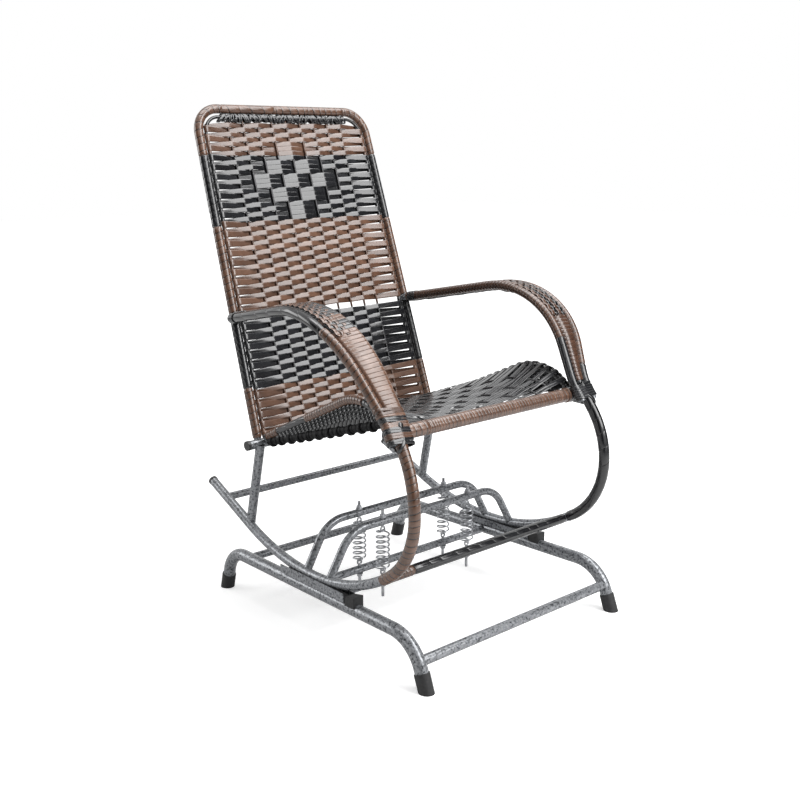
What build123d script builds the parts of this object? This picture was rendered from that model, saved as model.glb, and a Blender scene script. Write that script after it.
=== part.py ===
from build123d import *
import math
import os

# Wicker rocking chair on a sprung base. Millimetres, +Z up, the sitter faces -Y.
# Every lengthwise place below is given from the point where the runners touch their pads,
# and the whole chair is moved at the end so that its box is centred on the origin.

# Tubes and rods, outside diameters and wall
BASE_TUBE_D = 25.4
RUNNER_D = 19.05
ARM_TUBE_D = 15.9
BACK_TUBE_D = 15.9
RAIL_D = 22.2
CROSSBAR_D = 19.05
SMALL_BAR_D = 15.9
STRUT_D = 19.05
BOW_D = 12.7
CHORD_D = 8.0
INNER_ROD_D = 7.0
WALL = 1.2
FIT = 0.15

# Strand wraps round the tubes
WRAP_FIT = 0.1
WRAP_GAP = 2.0
RUNNER_WRAP_T = 1.3
RAIL_WRAP_T = 2.3
BAR_WRAP_T = 2.0
BACK_WRAP_T = 1.3
ARM_WRAP_T = 1.3

# Plan: the two sides stand a little closer together at the rear
HALF_WIDTH = 252.9
SPLAY = 0.0227

# Base
REAR_FOOT_Y = 316.0
FRONT_FOOT_Y = -318.0
REAR_LEG_LEAN = 15.0
FRONT_LEG_LEAN = 21.0
BASE_RUN_Z = 89.0
REAR_BEND_R = 60.0
FRONT_BEND_R = 80.0
FOOT_PAD = 2.0
FOOT_CAP_D = 29.0
FOOT_CAP_H = 27.0
FRONT_BAR_Z = 50.0
REAR_BAR_Y = 228.0

# Runner pads: a sheet channel with a rubber strip, and a rubber stop in front of it
CHANNEL_REAR_Y = 95.0
CHANNEL_FRONT_Y = -105.0
CHANNEL_T = 1.5
CHANNEL_INSIDE_W = 25.0
CHANNEL_OUTER_H = 17.0
CHANNEL_INNER_H = 12.5
PAD_W = 19.0
PAD_T = 5.2
PAD_GAP = 0.3
PAD_END = 3.0
STOP_L = 26.0
STOP_W = 24.0
STOP_REAR_TOP = 11.2
STOP_SLOPE = 11.0
STOP_SEAT_DEPTH = 6.0
STOP_GAP = 0.6

# Runner and front loop, one bent tube a side
RUNNER_REAR_Y = 355.0
RUNNER_REAR_ANGLE = 24.2
RUNNER_REAR_R = 540.0
RUNNER_FRONT_ANGLE = 30.0
RUNNER_FRONT_R = 405.0
RUNNER_STRAIGHT = 9.8
LOOP_R = 150.0
LOOP_TOP_R = 190.0
LOOP_TOP_LEAN = 33.0
LOOP_TOP_IN = 8.0
LOOP_END_Z = 452.0
LOOP_WRAP_END_Z = 418.0
STRAIGHT_REST = 1.0
REAR_UPPER_BAR_Y = 305.0
FRONT_LOWER_BAR_Y = -198.0
STRUT_FOOT_Y = 225.0
STRUT_FOOT_IN = 5.0
STRUT_TOP_HALF = 240.0
STRUT_TOP_AHEAD = 8.0

# Arches and springs
REAR_ARCH_Y = 27.0
FRONT_ARCH_Y = -44.0
ARCH_TOP_Z = 209.0
ARCH_CORNER_HALF = 200.0
ARCH_BEND_R = 70.0
SPRING_HALF = 118.0
SPRING_MEAN_R = 10.8
SPRING_WIRE_D = 2.2
SPRING_TURNS = 8
HOOK_SHARE = 0.65
GAP_SAMPLES = 400
GAP_NEIGHBOUR_D = 4
EYE_R = 5.0
EYE_WIRE_D = 3.6
EYE_DROP = 8.0
BOLT_D = 6.0
BOLT_HOLE_D = 6.6
BOLT_ABOVE = 16.0
BOLT_BELOW = 28.0
NUT_AF = 10.0
NUT_H = 5.0
WASHER_D = 14.0
WASHER_T = 1.6

# Seat
RAIL_Z = 438.0
RAIL_HALF = 256.0
RAIL_WRAP_HALF = 226.0
REAR_SEAT_BAR_Y = 195.0
REAR_SEAT_BAR_Z = 340.0
REAR_SEAT_BAR_HALF = 262.0
BOW_REAR_HALF = 226.0
BOW_REAR_RISE = 13.0
BOW_REAR_AHEAD = 8.0
BOW_FRONT_HALF = 243.0
BOW_PEAK_BEHIND = 78.5
BOW_PEAK_Z = 501.0
BOW_R = 110.0
BOW_WRAP_END = 14.0
CHORD_FRONT_BEHIND = 19.5
PANEL_T = 5.0
PANEL_GAP = 0.4
SEAT_STATIONS = 7
SEAT_FRONT_RISE = 3.0
SEAT_REAR_RISE = 32.0
SIDE_PANEL_T = 4.0

# Back
BACK_RECLINE = 18.25
BACK_LENGTH = 692.5
BACK_BOTTOM_HALF = 239.0
BACK_TOP_HALF = 221.5
BACK_CORNER_R = 54.0
BACK_WRAP_START = 16.0
INNER_ROD_INSET = 17.0
INNER_ROD_CORNER_R = 37.0
BACK_PANEL_START = 30.0
BACK_GAP_LOW = 250.0
BACK_GAP_HIGH = 267.0
BACK_CORDS = 9
BACK_CORD_PITCH = 37.3
BACK_CORD_D = 4.6
BACK_GAP_EDGE = 5.0

# Arms
ARM_LAP_Z = 428.0
ARM_LAP_TOP_Z = 462.0
ARM_LAP_R = 150.0
ARM_PEAK_Y = -114.0
ARM_PEAK_Z = 661.0
ARM_OUTER_PEAK_HALF = 326.0
ARM_INNER_PEAK_HALF = 257.0
ARM_PEAK_R = 200.0
ARM_REAR_Z = 586.0
ARM_OUTER_SHORT = 8.0
ARM_OUTER_REAR_OUT = 13.5
ARM_INNER_REAR_IN = 3.0
ARM_WRAP_END = 26.0
ARM_PANEL_T = 4.0
ARM_PANEL_GAP = 0.7
ARM_PANEL_STATIONS = 25
ARM_PANEL_FROM = 0.08
ARM_PANEL_TO = 0.93

# Plugs in the open tube ends
PLUG_HEAD = 6.0
RAIL_PLUG_HEAD = 3.0
PLUG_DEPTH = 12.0
PLUG_OVER = 0.4

SIDES = {"right": -1, "left": 1}
nodes = {}


def tan(degrees):
    return math.tan(math.radians(degrees))


def sin(degrees):
    return math.sin(math.radians(degrees))


def cos(degrees):
    return math.cos(math.radians(degrees))


def side_half(y):
    """Half-width of the chair's side plane at y."""
    return HALF_WIDTH - SPLAY * y


def on_side(side, y, z, out=0.0):
    """A point of one side plane, or that far outside it."""
    return Vector(side * (side_half(y) + out), y, z)


def route(points, radii=()):
    """Straight runs joined by tangent arcs."""
    if len(points) == 2:
        return Line(*points)
    return FilletPolyline(*points, radius=list(radii))


def bar(path, outer_d):
    """A solid round bar along a path."""
    start = Plane(origin=path @ 0, z_dir=path % 0)
    return sweep(start * Circle(outer_d / 2), path=path)


def pipe(path, outer_d, wall=WALL):
    """A round tube along a path, open at both ends."""
    start = Plane(origin=path @ 0, z_dir=path % 0)
    return sweep(start * (Circle(outer_d / 2) - Circle(outer_d / 2 - wall)), path=path)


def wrap(path, tube_d, thickness):
    """The close turns of strand round a tube, as a sleeve."""
    return pipe(path, tube_d + 2 * WRAP_FIT + 2 * thickness, thickness)


def cope(piece, *others):
    """A tube end cut to the shape of the tubes that it meets."""
    for other in others:
        piece = piece - other
    return max(piece.solids(), key=lambda solid: solid.volume)


def upright_cylinder(x, y, low, high, diameter):
    return Pos(x, y, (low + high) / 2) * Cylinder(diameter / 2, high - low)


# Heights that stack up on the base tubes
base_top = BASE_RUN_Z + BASE_TUBE_D / 2
pad_floor = base_top + CHANNEL_T
pad_top = pad_floor + PAD_T
runner_low = pad_top + PAD_GAP + RUNNER_D / 2


# Base side tubes, foot caps and crossbars
def leg_end(foot_y, lean):
    """The middle of a leg's lower end, whose lowest edge stays above the floor."""
    end_z = FOOT_PAD + BASE_TUBE_D / 2 * sin(lean)
    return (foot_y - math.copysign(end_z * tan(lean), foot_y), end_z)


def bend(foot_y, lean):
    return (foot_y - math.copysign(BASE_RUN_Z * tan(lean), foot_y), BASE_RUN_Z)


def base_route(side):
    profile = [
        leg_end(REAR_FOOT_Y, REAR_LEG_LEAN),
        bend(REAR_FOOT_Y, REAR_LEG_LEAN),
        bend(FRONT_FOOT_Y, FRONT_LEG_LEAN),
        leg_end(FRONT_FOOT_Y, FRONT_LEG_LEAN),
    ]
    return route([on_side(side, y, z) for y, z in profile], (REAR_BEND_R, FRONT_BEND_R))


base_routes = {name: base_route(side) for name, side in SIDES.items()}
base_solids = {name: bar(path, BASE_TUBE_D) for name, path in base_routes.items()}
for name, path in base_routes.items():
    nodes["base_side_tube_" + name] = pipe(path, BASE_TUBE_D)


def foot_cap(path, at_start):
    """A rubber cap on a leaning leg, flat where it stands."""
    end = path @ 0 if at_start else path @ 1
    up = path % 0 if at_start else -(path % 1)
    leg = Plane(origin=end, z_dir=up)
    cup = leg * Cylinder(FOOT_CAP_D / 2, 2 * FOOT_CAP_H)
    bore = leg * Pos(0, 0, FOOT_CAP_H) * Cylinder(BASE_TUBE_D / 2, 2 * FOOT_CAP_H)
    room = Pos(end.X, end.Y, FOOT_CAP_H) * Box(4 * FOOT_CAP_D, 4 * FOOT_CAP_D, 2 * FOOT_CAP_H)
    return ((cup - bore) & room).solids()[0]


nodes["foot_caps"] = Compound(
    [foot_cap(path, at_start) for path in base_routes.values() for at_start in (True, False)]
)


def crossbar(y, z, half, outer_d):
    return pipe(route([Vector(-half, y, z), Vector(half, y, z)]), outer_d)


front_bar_y = FRONT_FOOT_Y + FRONT_BAR_Z * tan(FRONT_LEG_LEAN)
nodes["base_front_crossbar"] = cope(
    crossbar(front_bar_y, FRONT_BAR_Z, side_half(front_bar_y), CROSSBAR_D), *base_solids.values()
)
nodes["base_rear_crossbar"] = cope(
    crossbar(REAR_BAR_Y, BASE_RUN_Z, side_half(REAR_BAR_Y), SMALL_BAR_D), *base_solids.values()
)


# Channels, rubber pads and rubber stops under the runners
def along_side(side, y, z):
    """A plane square to one side's lengthwise line: its X points outward and its Y up."""
    outward = Vector(side, SPLAY, 0)
    return Plane(origin=on_side(side, y, z), x_dir=outward, z_dir=outward.cross(Vector(0, 0, 1)))


def lengthwise_bar(side, section, rear_y, front_y, z):
    """A section drawn outward and up, run from rear_y to front_y along a side."""
    length = (rear_y - front_y) * math.hypot(1, SPLAY)
    middle = along_side(side, (rear_y + front_y) / 2, z)
    return extrude(middle * section, amount=length / 2, both=True)


def channel(side):
    wall_out = CHANNEL_INSIDE_W / 2 + CHANNEL_T
    outline = [
        (-wall_out, 0),
        (wall_out, 0),
        (wall_out, CHANNEL_OUTER_H),
        (wall_out - CHANNEL_T, CHANNEL_OUTER_H),
        (wall_out - CHANNEL_T, CHANNEL_T),
        (-wall_out + CHANNEL_T, CHANNEL_T),
        (-wall_out + CHANNEL_T, CHANNEL_INNER_H),
        (-wall_out, CHANNEL_INNER_H),
    ]
    section = make_face(Polyline(*outline, close=True))
    return lengthwise_bar(side, section, CHANNEL_REAR_Y, CHANNEL_FRONT_Y, base_top)


def pad(side):
    section = Pos(0, PAD_T / 2) * Rectangle(PAD_W, PAD_T)
    return lengthwise_bar(side, section, CHANNEL_REAR_Y - PAD_END, CHANNEL_FRONT_Y + PAD_END, pad_floor)


def stop(side, base_solid):
    """A wedge of rubber seated astride the base tube, under the rising front of the runner."""
    rear = CHANNEL_FRONT_Y - STOP_GAP
    front = rear - STOP_L
    low = base_top - STOP_SEAT_DEPTH
    rear_top = base_top + STOP_REAR_TOP
    front_top = rear_top + STOP_L * tan(STOP_SLOPE)
    outline = [(rear, low), (front, low), (front, front_top), (rear, rear_top)]
    half = side_half((rear + front) / 2)
    wedge = extrude(
        make_face(Polyline(*[Vector(side * half, y, z) for y, z in outline], close=True)),
        amount=STOP_W / 2,
        dir=(1, 0, 0),
        both=True,
    )
    return cope(wedge, base_solid)


for name, side in SIDES.items():
    nodes["channel_" + name] = channel(side)
    nodes["rubber_pad_" + name] = pad(side)
    nodes["rubber_stop_" + name] = stop(side, base_solids[name])


# Runners with their front loops
rear_corner_y = RUNNER_REAR_R * tan(RUNNER_REAR_ANGLE / 2)
front_corner_y = -RUNNER_FRONT_R * tan(RUNNER_FRONT_ANGLE / 2)
loop_turn = 90 - RUNNER_FRONT_ANGLE
loop_rise = RUNNER_FRONT_R * tan(RUNNER_FRONT_ANGLE / 2) + RUNNER_STRAIGHT + LOOP_R * tan(loop_turn / 2)
loop_front_y = front_corner_y - loop_rise * cos(RUNNER_FRONT_ANGLE)
loop_low_z = runner_low + loop_rise * sin(RUNNER_FRONT_ANGLE)
loop_high_z = loop_low_z + LOOP_R * tan(loop_turn / 2) + LOOP_TOP_R * tan(LOOP_TOP_LEAN / 2) + STRAIGHT_REST


def loop_top_y(z):
    """Where the leaning top of the front loop is at height z."""
    return loop_front_y + (z - loop_high_z) * tan(LOOP_TOP_LEAN)


def loop_in(z):
    """How far the leaning top of the front loop has come in toward the seat at height z."""
    return LOOP_TOP_IN * (z - loop_high_z) / (LOOP_END_Z - loop_high_z)


def runner_z(y):
    """Height of the runner's axis at y, up to the front loop."""
    if y > RUNNER_REAR_R * sin(RUNNER_REAR_ANGLE):
        return runner_low + (y - rear_corner_y) * tan(RUNNER_REAR_ANGLE)
    radius = RUNNER_REAR_R if y > 0 else RUNNER_FRONT_R
    return runner_low + radius - math.sqrt(radius * radius - y * y)


loop_start = (
    front_corner_y - RUNNER_FRONT_R * tan(RUNNER_FRONT_ANGLE / 2) * cos(RUNNER_FRONT_ANGLE),
    runner_low + RUNNER_FRONT_R * tan(RUNNER_FRONT_ANGLE / 2) * sin(RUNNER_FRONT_ANGLE),
)
loop_profile = [
    (loop_front_y, loop_low_z),
    (loop_front_y, loop_high_z),
    (loop_top_y(LOOP_END_Z), LOOP_END_Z, -LOOP_TOP_IN),
]
runner_profile = [
    (RUNNER_REAR_Y, runner_z(RUNNER_REAR_Y)),
    (rear_corner_y, runner_low),
    (front_corner_y, runner_low),
] + loop_profile


def across_loop(z):
    """A plane square to the leaning top of the front loops."""
    return Plane(origin=(0, loop_top_y(z), z), z_dir=(0, sin(LOOP_TOP_LEAN), cos(LOOP_TOP_LEAN)))


runner_routes = {}
runner_solids = {}
loop_wraps = {}
for name, side in SIDES.items():
    runner_routes[name] = route(
        [on_side(side, *place) for place in runner_profile],
        (RUNNER_REAR_R, RUNNER_FRONT_R, LOOP_R, LOOP_TOP_R),
    )
    runner_solids[name] = bar(runner_routes[name], RUNNER_D)
    nodes["runner_" + name] = pipe(runner_routes[name], RUNNER_D)
    wrap_route = route([on_side(side, *place) for place in [loop_start] + loop_profile], (LOOP_R, LOOP_TOP_R))
    sleeve = wrap(wrap_route, RUNNER_D, RUNNER_WRAP_T)
    loop_wrap_end = across_loop(LOOP_WRAP_END_Z)
    nodes["loop_wrap_" + name] = split(sleeve, bisect_by=loop_wrap_end, keep=Keep.BOTTOM).solids()[0]
    loop_wraps[name] = bar(wrap_route, RUNNER_D + 2 * WRAP_FIT + 2 * RUNNER_WRAP_T)


# Crossbars between the runners
rear_upper_z = runner_z(REAR_UPPER_BAR_Y)
nodes["rear_upper_crossbar"] = cope(
    crossbar(REAR_UPPER_BAR_Y, rear_upper_z, side_half(REAR_UPPER_BAR_Y), SMALL_BAR_D), *runner_solids.values()
)
front_lower_z = runner_z(FRONT_LOWER_BAR_Y)
front_lower_half = side_half(FRONT_LOWER_BAR_Y)
nodes["front_lower_crossbar"] = cope(
    crossbar(FRONT_LOWER_BAR_Y, front_lower_z, front_lower_half, SMALL_BAR_D),
    *runner_solids.values(),
    *loop_wraps.values(),
)
front_lower_wrap_half = front_lower_half - RUNNER_D / 2 - RUNNER_WRAP_T - BAR_WRAP_T
front_lower_ends = [Vector(end * front_lower_wrap_half, FRONT_LOWER_BAR_Y, front_lower_z) for end in (-1, 1)]
nodes["front_lower_wrap"] = wrap(route(front_lower_ends), SMALL_BAR_D, BAR_WRAP_T)


# Seat bars, struts and side bows
rail_y = loop_top_y(RAIL_Z) + (RAIL_D / 2 + RUNNER_D / 2 + FIT) / cos(LOOP_TOP_LEAN)
rail_solid = bar(route([Vector(-RAIL_HALF, rail_y, RAIL_Z), Vector(RAIL_HALF, rail_y, RAIL_Z)]), RAIL_D)
rear_seat_ends = [Vector(end * REAR_SEAT_BAR_HALF, REAR_SEAT_BAR_Y, REAR_SEAT_BAR_Z) for end in (-1, 1)]
rear_seat_solid = bar(route(rear_seat_ends), CROSSBAR_D)
nodes["seat_front_rail"] = crossbar(rail_y, RAIL_Z, RAIL_HALF, RAIL_D)
rail_wrap_ends = [Vector(end * RAIL_WRAP_HALF, rail_y, RAIL_Z) for end in (-1, 1)]
nodes["front_rail_wrap"] = wrap(route(rail_wrap_ends), RAIL_D, RAIL_WRAP_T)
nodes["rear_seat_crossbar"] = pipe(route(rear_seat_ends), CROSSBAR_D)


def bow_half(y):
    """Half-width of the seat at its side bows."""
    along = (REAR_SEAT_BAR_Y - y) / (REAR_SEAT_BAR_Y - rail_y)
    return BOW_REAR_HALF + along * (BOW_FRONT_HALF - BOW_REAR_HALF)


def on_bow(side, y, z):
    return Vector(side * bow_half(y), y, z)


rear_end = (REAR_SEAT_BAR_Y - BOW_REAR_AHEAD, REAR_SEAT_BAR_Z + BOW_REAR_RISE)
chord_start = (REAR_SEAT_BAR_Y, REAR_SEAT_BAR_Z)
peak = (rail_y + BOW_PEAK_BEHIND, BOW_PEAK_Z)
front_end = (rail_y, RAIL_Z)
chord_front_z = RAIL_Z + CHORD_FRONT_BEHIND * (BOW_PEAK_Z - RAIL_Z) / BOW_PEAK_BEHIND
chord_end = (rail_y + CHORD_FRONT_BEHIND, chord_front_z)


def toward(start, end, distance):
    """The (y, z) point at that distance from start on the way to end."""
    length = math.dist(start, end)
    return (
        start[0] + (end[0] - start[0]) * distance / length,
        start[1] + (end[1] - start[1]) * distance / length,
    )


def side_panel(side, bow_route, chord_route):
    """The strands that drop from the bow to the chord, as one thin leaf."""
    corners = [on_bow(side, *point) for point in (rear_end, peak, chord_end, chord_start)]
    leaf = extrude(make_face(Polyline(*corners, close=True)), amount=SIDE_PANEL_T / 2, both=True)
    bow_room = bar(bow_route, BOW_D + 2 * (WRAP_FIT + ARM_WRAP_T + PANEL_GAP))
    chord_room = bar(chord_route, CHORD_D + 2 * PANEL_GAP)
    return cope(leaf, bow_room, chord_room)


bow_wraps = []
for name, side in SIDES.items():
    bow_points = [on_bow(side, *point) for point in (rear_end, peak, front_end)]
    bow_route = route(bow_points, (BOW_R,))
    bow_solid = bar(bow_route, BOW_D)
    chord_route = route([on_bow(side, *chord_start), on_bow(side, *chord_end)])
    nodes["seat_bow_" + name] = cope(pipe(bow_route, BOW_D), rail_solid, rear_seat_solid)
    rear_wrap_end = toward(rear_end, peak, CROSSBAR_D / 2 + BOW_WRAP_END)
    front_wrap_end = toward(front_end, peak, RAIL_D / 2 + BOW_WRAP_END)
    wrap_points = [on_bow(side, *point) for point in (rear_wrap_end, peak, front_wrap_end)]
    bow_wrap_route = route(wrap_points, (BOW_R,))
    bow_wrap_solid = bar(bow_wrap_route, BOW_D + 2 * WRAP_FIT + 2 * ARM_WRAP_T)
    chord = cope(bar(chord_route, CHORD_D), bow_solid, bow_wrap_solid, rear_seat_solid)
    nodes["seat_chord_" + name] = chord
    bow_wraps.append(cope(wrap(bow_wrap_route, BOW_D, ARM_WRAP_T), bar(chord_route, CHORD_D)))
    nodes["seat_side_weave_" + name] = side_panel(side, bow_route, chord_route)
    strut_foot = on_side(side, STRUT_FOOT_Y, runner_z(STRUT_FOOT_Y), -STRUT_FOOT_IN)
    strut_top = Vector(side * STRUT_TOP_HALF, REAR_SEAT_BAR_Y - STRUT_TOP_AHEAD, REAR_SEAT_BAR_Z)
    nodes["strut_" + name] = cope(
        pipe(route([strut_foot, strut_top]), STRUT_D), runner_solids[name], rear_seat_solid, bow_solid
    )
nodes["bow_wraps"] = Compound(bow_wraps)


# Back frame, inner rod and woven back, laid out across (u) and up (v) the reclined plane
def on_back(u, v):
    return Vector(u, REAR_SEAT_BAR_Y + v * sin(BACK_RECLINE), REAR_SEAT_BAR_Z + v * cos(BACK_RECLINE))


def back_half(v, inset=0.0):
    """Half-width of the back at v, that far inside the frame's axis."""
    return BACK_BOTTOM_HALF + (BACK_TOP_HALF - BACK_BOTTOM_HALF) * v / BACK_LENGTH - inset


def back_loop(start, inset, radius):
    top = BACK_LENGTH - inset
    outline = [
        (-back_half(start, inset), start),
        (-back_half(top, inset), top),
        (back_half(top, inset), top),
        (back_half(start, inset), start),
    ]
    return route([on_back(u, v) for u, v in outline], (radius, radius))


back_route = back_loop(0, 0, BACK_CORNER_R)
nodes["back_frame"] = cope(pipe(back_route, BACK_TUBE_D), rear_seat_solid)
back_wrap_route = back_loop(BACK_WRAP_START + CROSSBAR_D / 2, 0, BACK_CORNER_R)
back_wrap = wrap(back_wrap_route, BACK_TUBE_D, BACK_WRAP_T)
back_wrap_solid = bar(back_wrap_route, BACK_TUBE_D + 2 * WRAP_FIT + 2 * BACK_WRAP_T)
nodes["back_inner_rod"] = cope(bar(back_loop(0, INNER_ROD_INSET, INNER_ROD_CORNER_R), INNER_ROD_D), rear_seat_solid)


def back_gap(half):
    """The see-through band across the back, which only the upright cords cross."""
    first = -BACK_CORD_PITCH * (BACK_CORDS - 1) / 2
    cords = [first + i * BACK_CORD_PITCH for i in range(BACK_CORDS)]
    starts = [-half] + [u + BACK_CORD_D / 2 for u in cords]
    ends = [u - BACK_CORD_D / 2 for u in cords] + [half]
    height = BACK_GAP_HIGH - BACK_GAP_LOW
    blocks = []
    for start, end in zip(starts, ends):
        middle = on_back((start + end) / 2, (BACK_GAP_LOW + BACK_GAP_HIGH) / 2)
        facing = Plane(origin=middle, x_dir=(1, 0, 0), z_dir=(0, -cos(BACK_RECLINE), sin(BACK_RECLINE)))
        blocks.append(extrude(facing * Rectangle(end - start, height), amount=PANEL_T, both=True))
    return blocks


def back_panel():
    inset = INNER_ROD_INSET + INNER_ROD_D / 2 + PANEL_GAP
    top = BACK_LENGTH - inset
    outline = [
        on_back(-back_half(BACK_PANEL_START, inset), BACK_PANEL_START),
        on_back(-back_half(top, inset), top),
        on_back(back_half(top, inset), top),
        on_back(back_half(BACK_PANEL_START, inset), BACK_PANEL_START),
    ]
    corner_r = INNER_ROD_CORNER_R - INNER_ROD_D / 2 - PANEL_GAP
    curve = FilletPolyline(*outline, radius=[corner_r, corner_r])
    face = make_face([*curve.edges(), Line(outline[-1], outline[0]).edge()])
    return extrude(face, amount=PANEL_T / 2, both=True) - back_gap(back_half(BACK_GAP_LOW, inset) - BACK_GAP_EDGE)


nodes["back_weave"] = back_panel()


# Woven seat: a sheet between the bows, dished in front and crowned where it nears the back
def bow_z(y):
    """Height of the bow's axis at y."""
    rise = math.atan2(peak[1] - rear_end[1], rear_end[0] - peak[0])
    fall = math.atan2(peak[1] - front_end[1], peak[0] - front_end[0])
    tangent = BOW_R * math.tan((rise + fall) / 2)
    arc_rear = toward(peak, rear_end, tangent)
    arc_front = toward(peak, front_end, tangent)
    centre = (arc_rear[0] - BOW_R * math.sin(rise), arc_rear[1] - BOW_R * math.cos(rise))
    if y > arc_rear[0]:
        return rear_end[1] + (rear_end[0] - y) * math.tan(rise)
    if y < arc_front[0]:
        return front_end[1] + (y - front_end[0]) * math.tan(fall)
    return centre[1] + math.sqrt(BOW_R * BOW_R - (y - centre[0]) ** 2)


def seat_section(y):
    """One crosswise cut of the seat: edges level with the bows, the middle on a line from rail to back."""
    half = bow_half(y) - BOW_D / 2 - WRAP_FIT - ARM_WRAP_T - PANEL_GAP
    share = (REAR_SEAT_BAR_Y - y) / (REAR_SEAT_BAR_Y - rail_y)
    rear_z = REAR_SEAT_BAR_Z + SEAT_REAR_RISE
    middle = rear_z + share * (RAIL_Z + SEAT_FRONT_RISE - rear_z)
    edge = bow_z(y)
    reach = 2 * middle - edge
    top = edge + PANEL_T / 2
    bottom = edge - PANEL_T / 2
    upper = Bezier((-half, y, top), (0, y, reach + PANEL_T / 2), (half, y, top))
    lower = Bezier((-half, y, bottom), (0, y, reach - PANEL_T / 2), (half, y, bottom))
    left = Line((-half, y, bottom), (-half, y, top))
    right = Line((half, y, top), (half, y, bottom))
    return make_face([upper.edge(), right.edge(), lower.edge(), left.edge()])


seat_front_y = rail_y + RAIL_D / 2 + WRAP_FIT + RAIL_WRAP_T + PANEL_GAP
seat_rear_y = REAR_SEAT_BAR_Y - CROSSBAR_D / 2 - PANEL_GAP
seat_step = (seat_rear_y - seat_front_y) / (SEAT_STATIONS - 1)
nodes["seat_weave"] = loft([seat_section(seat_front_y + i * seat_step) for i in range(SEAT_STATIONS)], ruled=True)


# Arms: two slim tubes a side that part and meet again, with a woven leaf between them
lap_offset = RUNNER_D / 2 + ARM_TUBE_D / 2 + FIT
arm_v = (ARM_REAR_Z - REAR_SEAT_BAR_Z) / cos(BACK_RECLINE)
arm_back = on_back(back_half(arm_v), arm_v)


def arm_route(side, outer):
    """From the lap beside the front loop's top, up and over to the back frame."""
    lap = lap_offset if outer else -lap_offset
    peak_half = ARM_OUTER_PEAK_HALF if outer else ARM_INNER_PEAK_HALF
    rear_half = arm_back.X + (ARM_OUTER_REAR_OUT if outer else -ARM_INNER_REAR_IN)
    rear_y = arm_back.Y - ARM_OUTER_SHORT if outer else arm_back.Y
    return [
        on_side(side, loop_top_y(ARM_LAP_Z), ARM_LAP_Z, lap - loop_in(ARM_LAP_Z)),
        on_side(side, loop_top_y(ARM_LAP_TOP_Z), ARM_LAP_TOP_Z, lap - loop_in(ARM_LAP_TOP_Z)),
        Vector(side * peak_half, ARM_PEAK_Y, ARM_PEAK_Z),
        Vector(side * rear_half, rear_y, ARM_REAR_Z),
    ]


def drawn_in(points, length):
    """The same route with its last end drawn in."""
    end = points[-1] + (points[-2] - points[-1]).normalized() * length
    return points[:-1] + [end]


arm_radii = (ARM_LAP_R, ARM_PEAK_R)
arm_wrap_start = across_loop(LOOP_END_Z + WRAP_GAP)
arm_wrap_d = ARM_TUBE_D + 2 * WRAP_FIT + 2 * ARM_WRAP_T
for name, side in SIDES.items():
    panel_sides = []
    sleeves = []
    for outer in (True, False):
        points = arm_route(side, outer)
        label = "arm_outer_" if outer else "arm_inner_"
        nodes[label + "tube_" + name] = cope(pipe(route(points, arm_radii), ARM_TUBE_D), back_wrap_solid)
        sleeve = wrap(route(drawn_in(points, ARM_WRAP_END), arm_radii), ARM_TUBE_D, ARM_WRAP_T)
        sleeves.append(split(sleeve, bisect_by=arm_wrap_start, keep=Keep.TOP).solids()[0])
        panel_sides.append(route(points, arm_radii))
    nodes["arm_wraps_" + name] = Compound(sleeves)
    outer_route, inner_route = panel_sides
    sections = []
    for i in range(ARM_PANEL_STATIONS):
        share = ARM_PANEL_FROM + (ARM_PANEL_TO - ARM_PANEL_FROM) * i / (ARM_PANEL_STATIONS - 1)
        across = (outer_route @ share) - (inner_route @ share)
        middle = ((outer_route @ share) + (inner_route @ share)) / 2
        normal = across.cross((outer_route % share) + (inner_route % share)).normalized()
        slant = max(abs(across.normalized().dot(side_route % share)) for side_route in panel_sides)
        width = across.length - arm_wrap_d / math.sqrt(1 - slant**2) - 2 * ARM_PANEL_GAP
        cut = Plane(origin=middle, x_dir=across, z_dir=across.cross(normal))
        sections.append(cut * Rectangle(width, ARM_PANEL_T))
    nodes["arm_weave_" + name] = loft(sections, ruled=True)

nodes["back_wrap"] = back_wrap


# Arches on the runners, spring bars on the base, and the four springs between them
def arch(y):
    foot_z = runner_z(y)
    points = [
        Vector(-side_half(y), y, foot_z),
        Vector(-ARCH_CORNER_HALF, y, ARCH_TOP_Z),
        Vector(ARCH_CORNER_HALF, y, ARCH_TOP_Z),
        Vector(side_half(y), y, foot_z),
    ]
    piece = pipe(route(points, (ARCH_BEND_R, ARCH_BEND_R)), SMALL_BAR_D)
    return cope(piece, *runner_solids.values())


def bolt_holes(piece, y, z):
    for side in SIDES.values():
        piece = piece - upright_cylinder(side * SPRING_HALF, y, z - SMALL_BAR_D, z + SMALL_BAR_D, BOLT_HOLE_D)
    return piece


SPRING_ROWS = {"rear": REAR_ARCH_Y, "front": FRONT_ARCH_Y}
for row, y in SPRING_ROWS.items():
    nodes["arch_" + row] = bolt_holes(arch(y), y, ARCH_TOP_Z)
    spring_bar = cope(crossbar(y, BASE_RUN_Z, side_half(y), SMALL_BAR_D), *base_solids.values())
    nodes["spring_bar_" + row] = bolt_holes(spring_bar, y, BASE_RUN_Z)

eye_high_z = ARCH_TOP_Z - SMALL_BAR_D / 2 - EYE_DROP
eye_low_z = BASE_RUN_Z + SMALL_BAR_D / 2 + EYE_DROP
hook_seat = EYE_R - EYE_WIRE_D / 2 - SPRING_WIRE_D / 2 - PAD_GAP
spring_high_z = eye_high_z - hook_seat
spring_low_z = eye_low_z + hook_seat


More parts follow.
